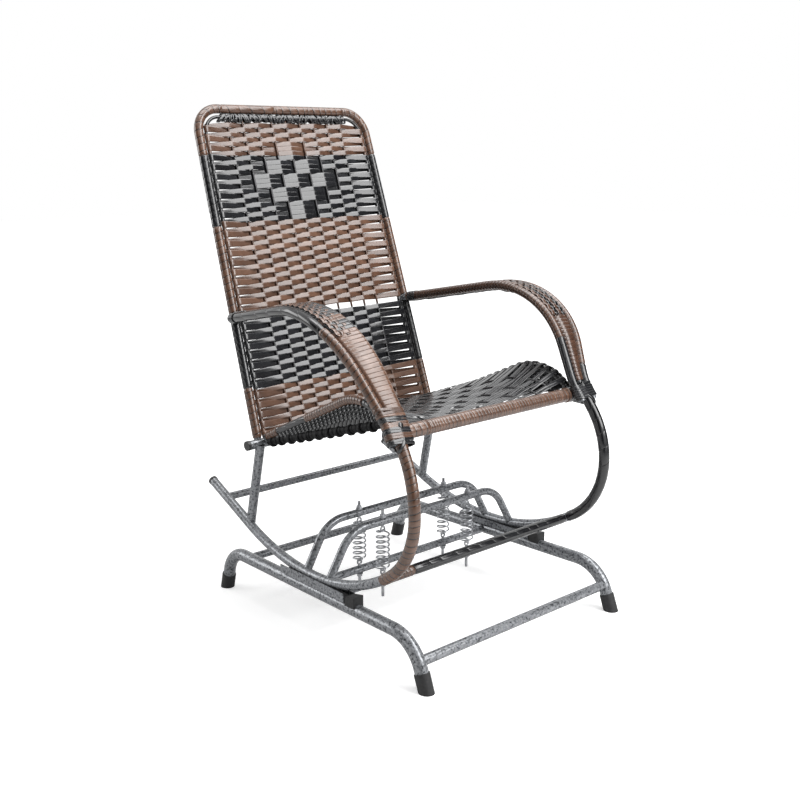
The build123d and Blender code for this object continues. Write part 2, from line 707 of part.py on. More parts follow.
def eye_bolt(x, y, eye_z, shank_end_z):
    """A threaded shank with a closed eye that faces along the chair."""
    toward_end = math.copysign(1, shank_end_z - eye_z)
    shank_start = eye_z + toward_end * EYE_R
    shank = upright_cylinder(x, y, min(shank_start, shank_end_z), max(shank_start, shank_end_z), BOLT_D)
    eye = Pos(x, y, eye_z) * Rot(90, 0, 0) * Torus(EYE_R, EYE_WIRE_D / 2)
    return (shank + eye).solids()[0]


def nut(x, y, low):
    blank = extrude(Pos(x, y, low) * RegularPolygon(NUT_AF / 2, 6, major_radius=False), NUT_H)
    return (blank - upright_cylinder(x, y, low - NUT_H, low + 2 * NUT_H, BOLT_D + 2 * FIT)).solids()[0]


def washer(x, y, low):
    disc = upright_cylinder(x, y, low, low + WASHER_T, WASHER_D)
    return (disc - upright_cylinder(x, y, low - WASHER_T, low + 2 * WASHER_T, BOLT_HOLE_D)).solids()[0]


def biarc(start, start_way, end, end_way):
    """Two tangent arcs from one point and direction to another."""
    chord = end - start
    ways = start_way + end_way
    a = 2 * (1 - start_way.dot(end_way))
    b = 2 * chord.dot(ways)
    reach = (-b + math.sqrt(b * b + 4 * a * chord.dot(chord))) / (2 * a)
    joint = (start + start_way * reach + end - end_way * reach) / 2
    first = Edge.make_tangent_arc(start, start_way, joint)
    second = Edge.make_tangent_arc(end, -end_way, joint)
    return [first, Edge.make_three_point_arc(joint, second @ 0.5, end)]


def spring_path(x, y):
    """A helix whose ends turn in and run across its middle, through the two eyes."""
    pitch = (spring_high_z - spring_low_z) / SPRING_TURNS
    rise = pitch / (2 * math.pi * SPRING_MEAN_R)
    low_end = Vector(x, y + SPRING_MEAN_R * HOOK_SHARE, spring_low_z)
    low_middle = Vector(x, y, spring_low_z)
    places = []
    for quarter in range(4 * SPRING_TURNS + 1):
        angle = quarter * 90
        around = Vector(cos(angle), sin(angle), 0) * SPRING_MEAN_R
        height = spring_low_z + pitch * quarter / 4
        places.append((Vector(x, y, height) + around, Vector(-sin(angle), cos(angle), rise).normalized()))
    high_middle = Vector(x, y, spring_high_z)
    high_end = Vector(x, y - SPRING_MEAN_R * HOOK_SHARE, spring_high_z)
    across = Vector(0, -1, 0)
    places = [(low_middle, across)] + places + [(high_middle, across)]
    edges = [Edge.make_line(low_end, low_middle)]
    for (start, start_way), (end, end_way) in zip(places, places[1:]):
        edges += biarc(start, start_way, end, end_way)
    edges.append(Edge.make_line(high_middle, high_end))
    return Wire(edges)


def least_self_gap(path):
    """The least gap between stretches of wire that aren't neighbours along it."""
    points = [path @ (i / GAP_SAMPLES) for i in range(GAP_SAMPLES + 1)]
    spacing = path.length / GAP_SAMPLES
    apart = math.ceil(GAP_NEIGHBOUR_D * SPRING_WIRE_D / spacing)
    gaps = [
        math.dist(tuple(points[i]), tuple(points[j]))
        for i in range(len(points))
        for j in range(i + apart, len(points))
    ]
    return min(gaps) - SPRING_WIRE_D


for row, y in SPRING_ROWS.items():
    for name, side in SIDES.items():
        path = spring_path(side * SPRING_HALF, y)
        start = Plane(origin=path @ 0, z_dir=path % 0)
        nodes["spring_" + row + "_" + name] = sweep(start * Circle(SPRING_WIRE_D / 2), path=path)
print("spring: least gap to itself", round(least_self_gap(path), 2), "mm, wire length", round(path.length), "mm")

places = [(side * SPRING_HALF, y) for y in SPRING_ROWS.values() for side in SIDES.values()]
arch_high_z = ARCH_TOP_Z + SMALL_BAR_D / 2
bar_low_z = BASE_RUN_Z - SMALL_BAR_D / 2
upper_end_z = arch_high_z + BOLT_ABOVE
lower_end_z = bar_low_z - BOLT_BELOW
nodes["upper_eye_bolts"] = Compound([eye_bolt(x, y, eye_high_z, upper_end_z) for x, y in places])
nodes["lower_eye_bolts"] = Compound([eye_bolt(x, y, eye_low_z, lower_end_z) for x, y in places])
nodes["upper_washers"] = Compound([washer(x, y, arch_high_z) for x, y in places])
nodes["lower_washers"] = Compound([washer(x, y, bar_low_z - WASHER_T) for x, y in places])
nodes["upper_nuts"] = Compound([nut(x, y, arch_high_z + WASHER_T) for x, y in places])
nodes["lower_nuts"] = Compound([nut(x, y, bar_low_z - WASHER_T - NUT_H) for x, y in places])


# Plugs in the open tube ends
def plug(end, outward, tube_d, head_l):
    """A cap over a tube's end, with a shank that fits its bore."""
    seat = Plane(origin=end, z_dir=outward)
    head = seat * Pos(0, 0, head_l / 2) * Cylinder(tube_d / 2 + PLUG_OVER, head_l)
    shank_r = tube_d / 2 - WALL - FIT
    shank = seat * Pos(0, 0, -PLUG_DEPTH / 2) * Cylinder(shank_r, PLUG_DEPTH)
    return (head + shank).solids()[0]


runner_plugs = []
for path in runner_routes.values():
    runner_plugs.append(plug(path @ 0, -(path % 0), RUNNER_D, PLUG_HEAD))
nodes["runner_plugs"] = Compound(runner_plugs)
bar_plugs = []
for end in SIDES.values():
    bar_plugs.append(plug(Vector(end * RAIL_HALF, rail_y, RAIL_Z), Vector(end, 0, 0), RAIL_D, RAIL_PLUG_HEAD))
    seat_end = Vector(end * REAR_SEAT_BAR_HALF, REAR_SEAT_BAR_Y, REAR_SEAT_BAR_Z)
    bar_plugs.append(plug(seat_end, Vector(end, 0, 0), CROSSBAR_D, PLUG_HEAD))
nodes["seat_bar_plugs"] = Compound(bar_plugs)

# The origin is on the floor, in the middle of the chair's box
boxes = [node.bounding_box() for node in nodes.values()]
middle_y = (min(box.min.Y for box in boxes) + max(box.max.Y for box in boxes)) / 2
print("contact point at y", round(-middle_y, 3), "z", round(pad_top + PAD_GAP, 3))
os.makedirs("parts", exist_ok=True)
for name, node in nodes.items():
    export_step(Pos(0, -middle_y, 0) * node, "parts/" + name + ".step")
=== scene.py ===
import math
import random

import bmesh
import bpy
import numpy as np
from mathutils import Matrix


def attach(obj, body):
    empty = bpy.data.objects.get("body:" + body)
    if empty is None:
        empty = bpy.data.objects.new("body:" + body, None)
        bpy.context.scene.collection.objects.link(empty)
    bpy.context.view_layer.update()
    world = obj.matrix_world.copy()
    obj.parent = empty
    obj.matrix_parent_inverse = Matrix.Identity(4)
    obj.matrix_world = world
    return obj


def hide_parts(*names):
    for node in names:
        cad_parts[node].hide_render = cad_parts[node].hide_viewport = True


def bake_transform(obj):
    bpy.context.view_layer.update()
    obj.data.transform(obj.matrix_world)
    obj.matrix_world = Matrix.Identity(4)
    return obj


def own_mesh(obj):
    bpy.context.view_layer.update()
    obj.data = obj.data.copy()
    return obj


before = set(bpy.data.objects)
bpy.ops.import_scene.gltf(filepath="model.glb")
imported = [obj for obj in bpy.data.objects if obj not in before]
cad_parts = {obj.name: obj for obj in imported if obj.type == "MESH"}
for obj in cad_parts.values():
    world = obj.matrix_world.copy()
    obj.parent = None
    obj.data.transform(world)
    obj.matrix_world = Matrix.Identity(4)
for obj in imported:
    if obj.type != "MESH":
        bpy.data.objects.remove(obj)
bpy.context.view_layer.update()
rng = random.Random(8502)
MM = 0.001
X = np.array([1.0, 0.0, 0.0])
Y = np.array([0.0, 1.0, 0.0])
Z = np.array([0.0, 0.0, 1.0])
SIDES = {"right": -1, "left": 1}


# Geometry, in millimetres in the CAD's own frame
# Share of a direction above which it counts as lying along an axis
STEEP = 0.8
# Spacing of the points along a route
ROUTE_STEP = 2.0


def unit(v):
    v = np.asarray(v, float)
    return v / np.linalg.norm(v, axis=-1, keepdims=True)


def mirrored(side, points):
    return [(side * x, y, z) for x, y, z in points]


def crosswise(way):
    """A direction square to way."""
    return np.cross(way, Z if abs(way[2]) < STEEP else X)


def full_turn(count):
    return np.linspace(0, 2 * math.pi, count, endpoint=False)


def run_along(line):
    """Length from the start of a line to each of its points."""
    return np.concatenate([[0], np.cumsum(np.linalg.norm(np.diff(line, axis=0), axis=1))])


def points_at(s, run, line):
    """The points of a line at lengths s."""
    return np.stack([np.interp(s, run, column) for column in line.T], -1)


class Route:
    """Straight runs joined by arcs, with a frame along it that doesn't twist."""

    def __init__(self, points, radii=()):
        points = [np.array(p, float) for p in points]
        line = [points[0]]
        for corner, radius in enumerate(radii, 1):
            here = points[corner]
            back = unit(points[corner - 1] - here)
            on = unit(points[corner + 1] - here)
            turn = math.pi - math.acos(np.clip(back @ on, -1, 1))
            reach = radius * math.tan(turn / 2)
            centre = here + unit(back + on) * radius / math.cos(turn / 2)
            first = here + back * reach - centre
            last = here + on * reach - centre
            steps = max(3, int(radius * turn / ROUTE_STEP))
            for q in np.linspace(0, 1, steps + 1):
                swing = math.sin((1 - q) * turn) * first + math.sin(q * turn) * last
                line.append(centre + swing / math.sin(turn))
        line = np.array(line + [points[-1]])
        run = run_along(line)
        self.length = run[-1]
        self.s = np.linspace(0, self.length, max(3, int(self.length / ROUTE_STEP)))
        self.p = points_at(self.s, run, line)
        self.t = unit(np.gradient(self.p, axis=0))
        side = crosswise(self.t[0])
        sides = []
        for t in self.t:
            side = unit(side - (side @ t) * t)
            sides.append(side)
        self.u = np.array(sides)
        self.w = np.cross(self.t, self.u)

    def at(self, s):
        """Place, direction and the two cross directions at length s."""
        return [points_at(s, self.s, values) for values in (self.p, self.t, self.u, self.w)]


class Web:
    """A mesh gathered strand by strand, with a tone and a weight of painted groove shade (with the
    seam's dark line) at each vertex.
    """

    def __init__(self):
        self.points = []
        self.faces = []
        self.shade = []
        self.groove_line_and_shade = []
        self.count = 0

    def add(self, points, faces, shade, groove_line_and_shade=0.0):
        points = np.asarray(points, float).reshape(-1, 3)
        self.points.append(points)
        self.faces += [[i + self.count for i in face] for face in faces]
        self.shade.append(np.broadcast_to(np.asarray(shade, float), len(points)))
        self.groove_line_and_shade.append(np.broadcast_to(np.asarray(groove_line_and_shade, float), len(points)))
        self.count += len(points)

    def build(self, name, material, slot, replaces=(), body="chair"):
        mesh = bpy.data.meshes.new(name)
        mesh.from_pydata((np.concatenate(self.points) * MM).tolist(), [], self.faces)
        # The groove weight darkens the colour between turns: painted shade in the groove, together
        # with the seam's own dark line
        for label, values in (("shade", self.shade), ("groove_line_and_shade", self.groove_line_and_shade)):
            layer = mesh.attributes.new(label, "FLOAT", "POINT")
            layer.data.foreach_set("value", np.concatenate(values).astype(np.float32))
        work = bmesh.new()
        work.from_mesh(mesh)
        loose = [v for v in work.verts if not v.link_faces]
        bmesh.ops.delete(work, geom=loose, context="VERTS")
        bmesh.ops.recalc_face_normals(work, faces=work.faces)
        work.to_mesh(mesh)
        work.free()
        mesh.polygons.foreach_set("use_smooth", [True] * len(mesh.polygons))
        mesh.materials.append(material)
        obj = bpy.data.objects.new(name, mesh)
        bpy.context.scene.collection.objects.link(obj)
        if body:
            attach(obj, body)
        if replaces:
            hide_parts(*replaces)
        return obj


# Sections of strand, in shares of half its width and half its thickness
FLAT = [
    (-1, 0),
    (-0.92, 0.7),
    (-0.5, 1),
    (0.5, 1),
    (0.92, 0.7),
    (1, 0),
    (0.92, -0.7),
    (0, -1),
    (-0.92, -0.7),
]
ROUND = [(math.cos(a), math.sin(a)) for a in full_turn(10)]


def sleeve(rows, corners, closed=False):
    """Faces over rows of points round a section, capped unless the last row meets the first."""
    faces = []
    for i in range(rows if closed else rows - 1):
        j = (i + 1) % rows
        for c in range(corners):
            d = (c + 1) % corners
            faces.append((i * corners + c, i * corners + d, j * corners + d, j * corners + c))
    if not closed:
        faces.append(tuple(range(corners)))
        faces.append(tuple((rows - 1) * corners + c for c in range(corners)))
    return faces


def strip(web, line, across, half_w, half_t, shade, closed=False, section=FLAT):
    """A strand along a line, flat with its width toward across, or round."""
    line = np.asarray(line, float)
    if closed:
        along = unit(np.roll(line, -1, 0) - np.roll(line, 1, 0))
    else:
        along = unit(np.gradient(line, axis=0))
    across = np.broadcast_to(np.asarray(across, float), line.shape)
    across = unit(across - (across * along).sum(1)[:, None] * along)
    out = np.cross(along, across)
    half_w = np.broadcast_to(half_w, len(line))[:, None]
    points = np.stack([line + a * half_w * across + b * half_t * out for a, b in section], 1)
    web.add(points, sleeve(len(line), len(section), closed), shade)


def cord(web, line, radius, shade):
    line = np.asarray(line, float)
    way = unit(line[-1] - line[0])
    across = X if abs(way[0]) < STEEP else Z
    strip(web, line, across, radius, radius, shade, section=ROUND)


# Across one turn of wound strand: share of the pitch, share of the thickness, weight of the painted
# groove shade (with the seam's dark line)
FLANK = (
    (0.0, 0.66, 1.0),
    (0.06, 0.92, 0.7),
    (0.14, 1.0, 0.0),
    (0.5, 1.04, 0.0),
    (0.86, 1.0, 0.0),
    (0.94, 0.92, 0.7),
)
# Longest pitch at which the grooves still widen with it
GROOVE_PITCH = 12.0


def wound(web, route, start, end, core, thick, pitch, wander, tones, swell=0.0, sides=20):
    """Flat strand wound round a tube from one length of its route to another."""
    edges = [start - pitch]
    while edges[-1] < end + 2 * pitch:
        edges.append(edges[-1] + pitch * (1 + rng.uniform(-wander, wander)))
    turns = len(edges) - 2
    tone = np.array([rng.uniform(*tones) for _ in edges])
    lift = np.array([1 + rng.uniform(-swell, swell) for _ in edges])
    share, height, groove_line_and_shade = np.array(FLANK).T[:, None, :]
    narrow = min(1.0, GROOVE_PITCH / pitch)
    before = share * narrow
    behind = 1 - (1 - share) * narrow
    share = np.where(share < 0.5, before, np.where(share > 0.5, behind, share))
    step = np.arange((turns + 1) * sides)[:, None]
    tau = step / sides + share
    which = np.minimum(tau.astype(int), len(edges) - 1)
    s = np.interp(tau, np.arange(len(edges)), edges)
    low, high = s < start, s > end
    r = np.where(low | high, core, core + thick * height * lift[which])
    angle = (2 * math.pi * step / sides)[..., None]
    p, _, u, w = route.at(np.clip(s, start, end))
    points = p + r[..., None] * (np.cos(angle) * u + np.sin(angle) * w)
    k = len(FLANK)
    faces = []
    for i in range(turns * sides - 1):
        for c in range(k):
            d, e = (i, c + 1) if c + 1 < k else (i + sides, 0)
            corners = ((i, c), (i + 1, c), (d + 1, e), (d, e))
            if all(low[a] for a in corners) or all(high[a] for a in corners):
                continue
            faces.append([a * k + b for a, b in corners])
    # Each turn's groove weight carries painted shade into the groove between turns, along with the
    # seam's dark line
    web.add(points, faces, tone[which].ravel(), np.broadcast_to(groove_line_and_shade, tau.shape).ravel())


def hull(points):
    """The corners of the convex outline of points in a plane, in order."""
    points = sorted(map(tuple, points))

    def bend(a, b, c):
        return (b[0] - a[0]) * (c[1] - a[1]) - (b[1] - a[1]) * (c[0] - a[0])

    def half(sequence):
        chain = []
        for p in sequence:
            while len(chain) > 1 and bend(chain[-2], chain[-1], p) <= 0:
                chain.pop()
            chain.append(p)
        return chain[:-1]

    return half(points) + half(points[::-1])


# Least lean of a tube out of the plane of a strand that is tied round it
LASH_LEAN = 0.05
# Points round each tube, and along the strand
TUBE_POINTS = 36
LASH_POINTS = 48


def lash(web, origin, normal, tubes, width, shade, lift, half_t=0.9):
    """A strand tied round tubes, in the plane through origin square to normal."""
    origin, normal = np.array(origin, float), unit(normal)
    e1 = unit(crosswise(normal))
    e2 = np.cross(normal, e1)
    flat = []
    for start, end, radius in tubes:
        start, end = np.array(start, float), np.array(end, float)
        way = unit(end - start)
        rate = way @ normal
        if abs(rate) < LASH_LEAN:
            continue
        a = unit(crosswise(way))
        b = np.cross(way, a)
        for t in full_turn(TUBE_POINTS):
            edge = start + radius * (math.cos(t) * a + math.sin(t) * b) - origin
            s = np.clip(-(edge @ normal) / rate, 0, np.linalg.norm(end - start))
            p = edge + s * way
            flat.append((p @ e1, p @ e2))
    ring = np.array(hull(flat))
    ring = np.concatenate([ring, ring[:1]])
    run = run_along(ring)
    ring = points_at(np.linspace(0, run[-1], LASH_POINTS, endpoint=False), run, ring)
    ring = ring + lift * unit(ring - ring.mean(0))
    line = origin + ring[:, :1] * e1 + ring[:, 1:] * e2
    strip(web, line, normal, width / 2, half_t, shade, closed=True)


# Finishes
def nodes_of(name):
    material = bpy.data.materials.new(name)
    material.use_nodes = True
    tree = material.node_tree
    return material, tree, tree.nodes["Principled BSDF"]


def noise(tree, scale):
    place = tree.nodes.new("ShaderNodeTexCoord")
    texture = tree.nodes.new("ShaderNodeTexNoise")
    texture.inputs["Scale"].default_value = scale
    texture.inputs["Detail"].default_value = 3.0
    tree.links.new(place.outputs["Object"], texture.inputs["Vector"])
    return texture.outputs["Fac"]


def attribute(tree, label):
    node = tree.nodes.new("ShaderNodeAttribute")
    node.attribute_name = label
    return node.outputs["Fac"]


def ramp(tree, factor, stops):
    node = tree.nodes.new("ShaderNodeValToRGB")
    while len(node.color_ramp.elements) < len(stops):
        node.color_ramp.elements.new(0.5)
    for element, (position, colour) in zip(node.color_ramp.elements, stops):
        element.position = position
        element.color = (*colour, 1)
    tree.links.new(factor, node.inputs["Fac"])
    return node.outputs["Color"]


def spread(tree, factor, low, high, start=0.0, end=1.0):
    node = tree.nodes.new("ShaderNodeMapRange")
    node.inputs["From Min"].default_value = start
    node.inputs["From Max"].default_value = end
    node.inputs["To Min"].default_value = low
    node.inputs["To Max"].default_value = high
    tree.links.new(factor, node.inputs["Value"])
    return node.outputs["Result"]


def reckoned(tree, operation, first, second):
    node = tree.nodes.new("ShaderNodeMath")
    node.operation = operation
    tree.links.new(first, node.inputs[0])
    tree.links.new(second, node.inputs[1])
    return node.outputs[0]


def mixed(tree, kind, factor, first, second):
    node = tree.nodes.new("ShaderNodeMix")
    node.data_type = "RGBA"
    node.blend_type = kind
    for place, value in {0: factor, 6: first, 7: second}.items():
        socket = node.inputs[place]
        if isinstance(value, float):
            socket.default_value = value
        elif isinstance(value, tuple):
            socket.default_value = (*value, 1)
        else:
            tree.links.new(value, socket)
    return node.outputs[2]


def bumped(tree, shader, factor, strength, distance):
    node = tree.nodes.new("ShaderNodeBump")
    node.inputs["Strength"].default_value = strength
    node.inputs["Distance"].default_value = distance
    tree.links.new(factor, node.inputs["Height"])
    tree.links.new(node.outputs["Normal"], shader.inputs["Normal"])


def coat(name, stops, scale, rough, metallic=0.0, bump=(0.2, 0.0004)):
    material, tree, shader = nodes_of(name)
    grain = noise(tree, scale)
    tree.links.new(ramp(tree, grain, stops), shader.inputs["Base Color"])
    tree.links.new(spread(tree, noise(tree, scale * 0.4), *rough), shader.inputs["Roughness"])
    shader.inputs["Metallic"].default_value = metallic
    bumped(tree, shader, grain, *bump)
    return material


MOTTLE = [(0.3, (0.72, 0.72, 0.72)), (0.7, (1.0, 1.0, 1.0))]
MOTTLE_SCALE = 55.0
SHEEN_SCALE = 90.0
GRAIN_SCALE = 420.0
GRAIN_BUMP = (0.1, 0.0003)


def strand(name, stops, groove_line_and_shade, rough, gloss=0.75):
    """Extruded strand: each length its own tone, darkened where two turns meet, painted shade in
    the groove together with the seam's own dark line.
    """
    material, tree, shader = nodes_of(name)
    colour = ramp(tree, attribute(tree, "shade"), stops)
    mottle = ramp(tree, noise(tree, MOTTLE_SCALE), MOTTLE)
    colour = mixed(tree, "MULTIPLY", 1.0, colour, mottle)
    # Painted shade: the groove weight mixes the colour toward the dark groove colour, with the
    # seam's dark line
    colour = mixed(tree, "MIX", attribute(tree, "groove_line_and_shade"), colour, groove_line_and_shade)
    tree.links.new(colour, shader.inputs["Base Color"])
    tree.links.new(spread(tree, noise(tree, SHEEN_SCALE), *rough), shader.inputs["Roughness"])
    shader.inputs["Specular IOR Level"].default_value = gloss
    bumped(tree, shader, noise(tree, GRAIN_SCALE), *GRAIN_BUMP)
    return material


# The groove colours below are painted shade for the grooves between wound turns, together with the
# seam's dark line
BROWN = strand(
    "brown_strand",
    [(0.0, (0.07, 0.034, 0.021)), (1.0, (0.19, 0.1, 0.064))],
    groove_line_and_shade=(0.012, 0.007, 0.005),
    rough=(0.19, 0.29),
)
BLACK = strand(
    "black_strand",
    [(0.0, (0.005, 0.005, 0.006)), (1.0, (0.026, 0.027, 0.03))],
    groove_line_and_shade=(0.002, 0.002, 0.002),
    rough=(0.12, 0.22),
)
ROPE = strand(
    "black_rope",
    [(0.0, (0.002, 0.002, 0.003)), (1.0, (0.008, 0.008, 0.009))],
    groove_line_and_shade=(0.002, 0.002, 0.002),
    rough=(0.5, 0.65),
    gloss=0.15,
)
PAINT = coat(
    "grey_paint",
    [(0.35, (0.05, 0.053, 0.058)), (0.44, (0.19, 0.198, 0.21)), (0.64, (0.31, 0.32, 0.338))],
    scale=220.0,
    rough=(0.18, 0.3),
    metallic=0.35,
    bump=(0.16, 0.0005),
)
ZINC = coat(
    "zinc",
    [(0.3, (0.27, 0.275, 0.29)), (0.7, (0.5, 0.51, 0.53))],
    scale=160.0,
    rough=(0.22, 0.38),
    metallic=1.0,
    bump=(0.05, 0.0002),
)
RUBBER = coat(
    "black_rubber",
    [(0.3, (0.008, 0.008, 0.009)), (0.7, (0.02, 0.02, 0.021))],
    scale=240.0,
    rough=(0.5, 0.7),
)
PLASTIC = coat(
    "black_plastic",
    [(0.3, (0.006, 0.006, 0.007)), (0.7, (0.015, 0.015, 0.016))],
    scale=200.0,
    rough=(0.32, 0.45),
)


def finish_of(node):
    if node.startswith(("foot_caps", "rubber_stop", "rubber_pad")):
        return RUBBER
    if "plugs" in node:
        return PLASTIC
    if node.startswith(("upper_", "lower_", "spring_front_", "spring_rear_")):
        return ZINC
    if node == "back_inner_rod":
        return BLACK
    return PAINT


for label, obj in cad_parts.items():
    obj.data.materials.clear()
    obj.data.materials.append(finish_of(label))


# Back: flat strands from rod to rod, in front of one cord and behind the next
RECLINE = math.radians(18.25)
BACK_FOOT = np.array([0.0, 151.16, 340.0])
BACK_UP = np.array([0.0, math.sin(RECLINE), math.cos(RECLINE)])
BACK_OUT = np.array([0.0, -math.cos(RECLINE), math.sin(RECLINE)])
BACK_TOP_V = 692.5
BACK_FOOT_HALF = 239.0
BACK_TAPER = 17.5
ROD_IN = 17.0
ROD_CORNER_V = 638.5
ROD_CORNER_R = 37.0
CORDS = [-149.2 + 37.3 * k for k in range(9)]
CORD_R = 2.3
CORD_LIFT = 3.0
CORD_ZONES = (24.0, 110.0, 252.0, 453.0, 593.0, 672.0)
ROW_STEP = 10.0
ROW_HALF = 5.6
ROW_STRAY, ROW_TWIST = 0.35, 0.05
STRAND_HALF_T = 0.55
UPPER_ROWS = [658.0 - ROW_STEP * i for i in range(40)]
LOWER_ROWS = [245.0 - ROW_STEP * i for i in range(24)]
UPPER_BLACK_ROWS = range(7, 21)
LOWER_BLACK_ROWS = range(14)
# How far apart two strands stay that share a turn round the rod, at the right and left rods
UPPER_GATHER = (0.8, 0.5)
LOWER_GATHER = (0.85, 0.72)
# The strand at the rods: radius and angles of its turn, half-width and twist in front and behind
ROD_LOOP = 5.0
ROD_TURN = np.radians([0, 30, 60])
RIGHT_ROD_HALF = {1: 7.2, -1: 4.3}
LEFT_ROD_HALF = {1: 6.5, -1: 3.8}
ROD_TWIST = {1: 0.1, -1: 0.5}
# Shares of the way from one cord to the next at which a strand is drawn
BACK_SHARES = np.array([0, 0.045, 0.09, 0.3, 0.5, 0.7, 0.91, 0.955])
SEAT_SHARES = np.array([0, 0.045, 0.09, 0.36, 0.64, 0.91, 0.955])
# Bands of three rows with the first and last cell of the diamond in them
DIAMOND = {1: (3, 4), 2: (2, 5), 3: (1, 6), 4: (2, 5), 5: (3, 4)}


def on_back(u, v, d=0.0):
    u, v, d = np.broadcast_arrays(np.asarray(u, float), v, d)
    return BACK_FOOT + u[..., None] * X + v[..., None] * BACK_UP + d[..., None] * BACK_OUT


def back_half(v):
    return BACK_FOOT_HALF - BACK_TAPER * v / BACK_TOP_V


def rod_half(v):
    """Half-width of the rod inside the back frame, with its rounded top corners."""
    over = max(v - ROD_CORNER_V, 0.0)
    return back_half(v) - ROD_IN - (ROD_CORNER_R - math.sqrt(ROD_CORNER_R**2 - over**2))


def ease(t, soft=0.09):
    """From 0 to 1, level at both ends and straight between."""
    steep = 1 / (1 - soft)
    return np.where(
        t < soft,
        steep * t * t / (2 * soft),
        np.where(t > 1 - soft, 1 - steep * (1 - t) ** 2 / (2 * soft), steep * (t - soft / 2)),
    )


def through(stations, shares):
    """Values at shares of the way from each station to the next."""
    return [value for a, b in zip(stations, stations[1:]) for value in a + (b - a) * shares]


def gathered(rows, i, mate, gather):
    """Where row i ends, drawn toward the row that shares its turn."""
    mate = rows[min(max(mate, 0), len(rows) - 1)]
    return (rows[i] + mate) / 2 + (rows[i] - mate) / 2 * gather


def side_of_cord(row, k, upper):
    band = (row - 2) // 3
    if upper and band in DIAMOND and DIAMOND[band][0] <= k <= DIAMOND[band][1] + 1:
        return -1 if (band + k) % 2 == 0 else 1
    return 1 if (row + k) % 2 == 0 else -1


def back_row(web, rows, i, upper, gather_right, gather_left):
    v = rows[i]
    rod = rod_half(v)
    step = 1 if i % 2 == 0 else -1
    turn = -step
    far_turn = turn if upper else -turn
    right_half, left_half = RIGHT_ROD_HALF[turn], LEFT_ROD_HALF[far_turn]
    at_right = gathered(rows, i, i + step, gather_right)
    at_left = gathered(rows, i, i - step, gather_left)
    u_at = [-rod] + CORDS + [rod]
    lifts = [side_of_cord(i, k, upper) * CORD_LIFT for k in range(len(CORDS))]
    d_at = [turn * ROD_LOOP] + lifts + [far_turn * ROD_LOOP]
    v_at = [at_right] + [v + rng.uniform(-ROW_STRAY, ROW_STRAY) for _ in CORDS] + [at_left]
    twist_at = [ROD_TWIST[turn]] + [rng.uniform(-ROW_TWIST, ROW_TWIST) for _ in u_at[1:]]
    half_at = [right_half] + [ROW_HALF] * len(CORDS) + [left_half]
    out = ROD_LOOP * np.cos(ROD_TURN)
    forward = ROD_LOOP * np.sin(ROD_TURN)
    n = len(ROD_TURN)
    far = n + 1
    us = [*(-rod - out), *through(u_at, BACK_SHARES), rod, *(rod + out[::-1])]
    vs = [at_right] * n + through(v_at, BACK_SHARES) + [at_left] * far
    ds = [*(turn * forward), *through(d_at, ease(BACK_SHARES))]
    ds += [far_turn * ROD_LOOP, *(far_turn * forward[::-1])]
    twist = [ROD_TWIST[turn]] * n + through(twist_at, BACK_SHARES) + [0.0] * far
    half_w = [right_half] * n + through(half_at, BACK_SHARES) + [left_half] * far
    across = BACK_UP + np.array(twist)[:, None] * BACK_OUT
    shade = rng.uniform(0.25, 0.85)
    strip(web, on_back(us, vs, ds), across, np.array(half_w), STRAND_HALF_T, shade)


back_brown, back_black = Web(), Web()
for i in range(len(UPPER_ROWS)):
    web = back_black if i in UPPER_BLACK_ROWS else back_brown
    back_row(web, UPPER_ROWS, i, True, *UPPER_GATHER)
for i in range(len(LOWER_ROWS)):
    web = back_black if i in LOWER_BLACK_ROWS else back_brown
    back_row(web, LOWER_ROWS, i, False, *LOWER_GATHER)
for u in CORDS:
    for zone, (low, high) in enumerate(zip(CORD_ZONES, CORD_ZONES[1:])):
        web = back_black if zone % 2 else back_brown
        cord(web, on_back(u, np.linspace(low, high, 12)), CORD_R, rng.uniform(0.3, 0.6))
back_brown.build("back_strands_brown", BROWN, "brown_strand", ["back_weave"])
back_black.build("back_strands_black", BLACK, "black_strand")

# The cords' ends, knotted round the rod under the top bar
ROD_CORE = 3.6
ROD_STRAND = 0.7
TOP_ROD_V = 675.5
TOP_ROD_HALF = 166.0
KNOT_V = 673.5
KNOT_SPAN = 160.0
KNOT_STEP, KNOT_STRAY = 5.0, 2.4
KNOT_SLANT = 10.8
KNOT_HIGH = (7.6, 10.4)
KNOT_DEEP, KNOT_OUT = 6.2, 0.8
knots = Web()
top_rod = Route([on_back(side * TOP_ROD_HALF, TOP_ROD_V) for side in SIDES.values()])
wound(
    knots,
    top_rod,
    0,
    top_rod.length,
    ROD_CORE,
    thick=1.1,
    pitch=8.0,
    wander=0.4,
    tones=(0.5, 1.0),
    swell=0.3,
    sides=12,
)
for middle in np.arange(-KNOT_SPAN, KNOT_SPAN + 1, KNOT_STEP):
    u = middle + rng.uniform(-KNOT_STRAY, KNOT_STRAY)
    slant, high = rng.uniform(-KNOT_SLANT, KNOT_SLANT), rng.uniform(*KNOT_HIGH)
    a = full_turn(16)
    out = KNOT_OUT + KNOT_DEEP * np.sin(a)
    ring = on_back(u + slant * np.cos(a), KNOT_V + high * np.cos(a), out)
    half_w, shade = rng.uniform(1.6, 3.4), rng.uniform(0.0, 0.6)
    strip(knots, ring, X, half_w, half_t=0.7, shade=shade, closed=True)
knots.build("back_top_knots", BLACK, "black_strand")

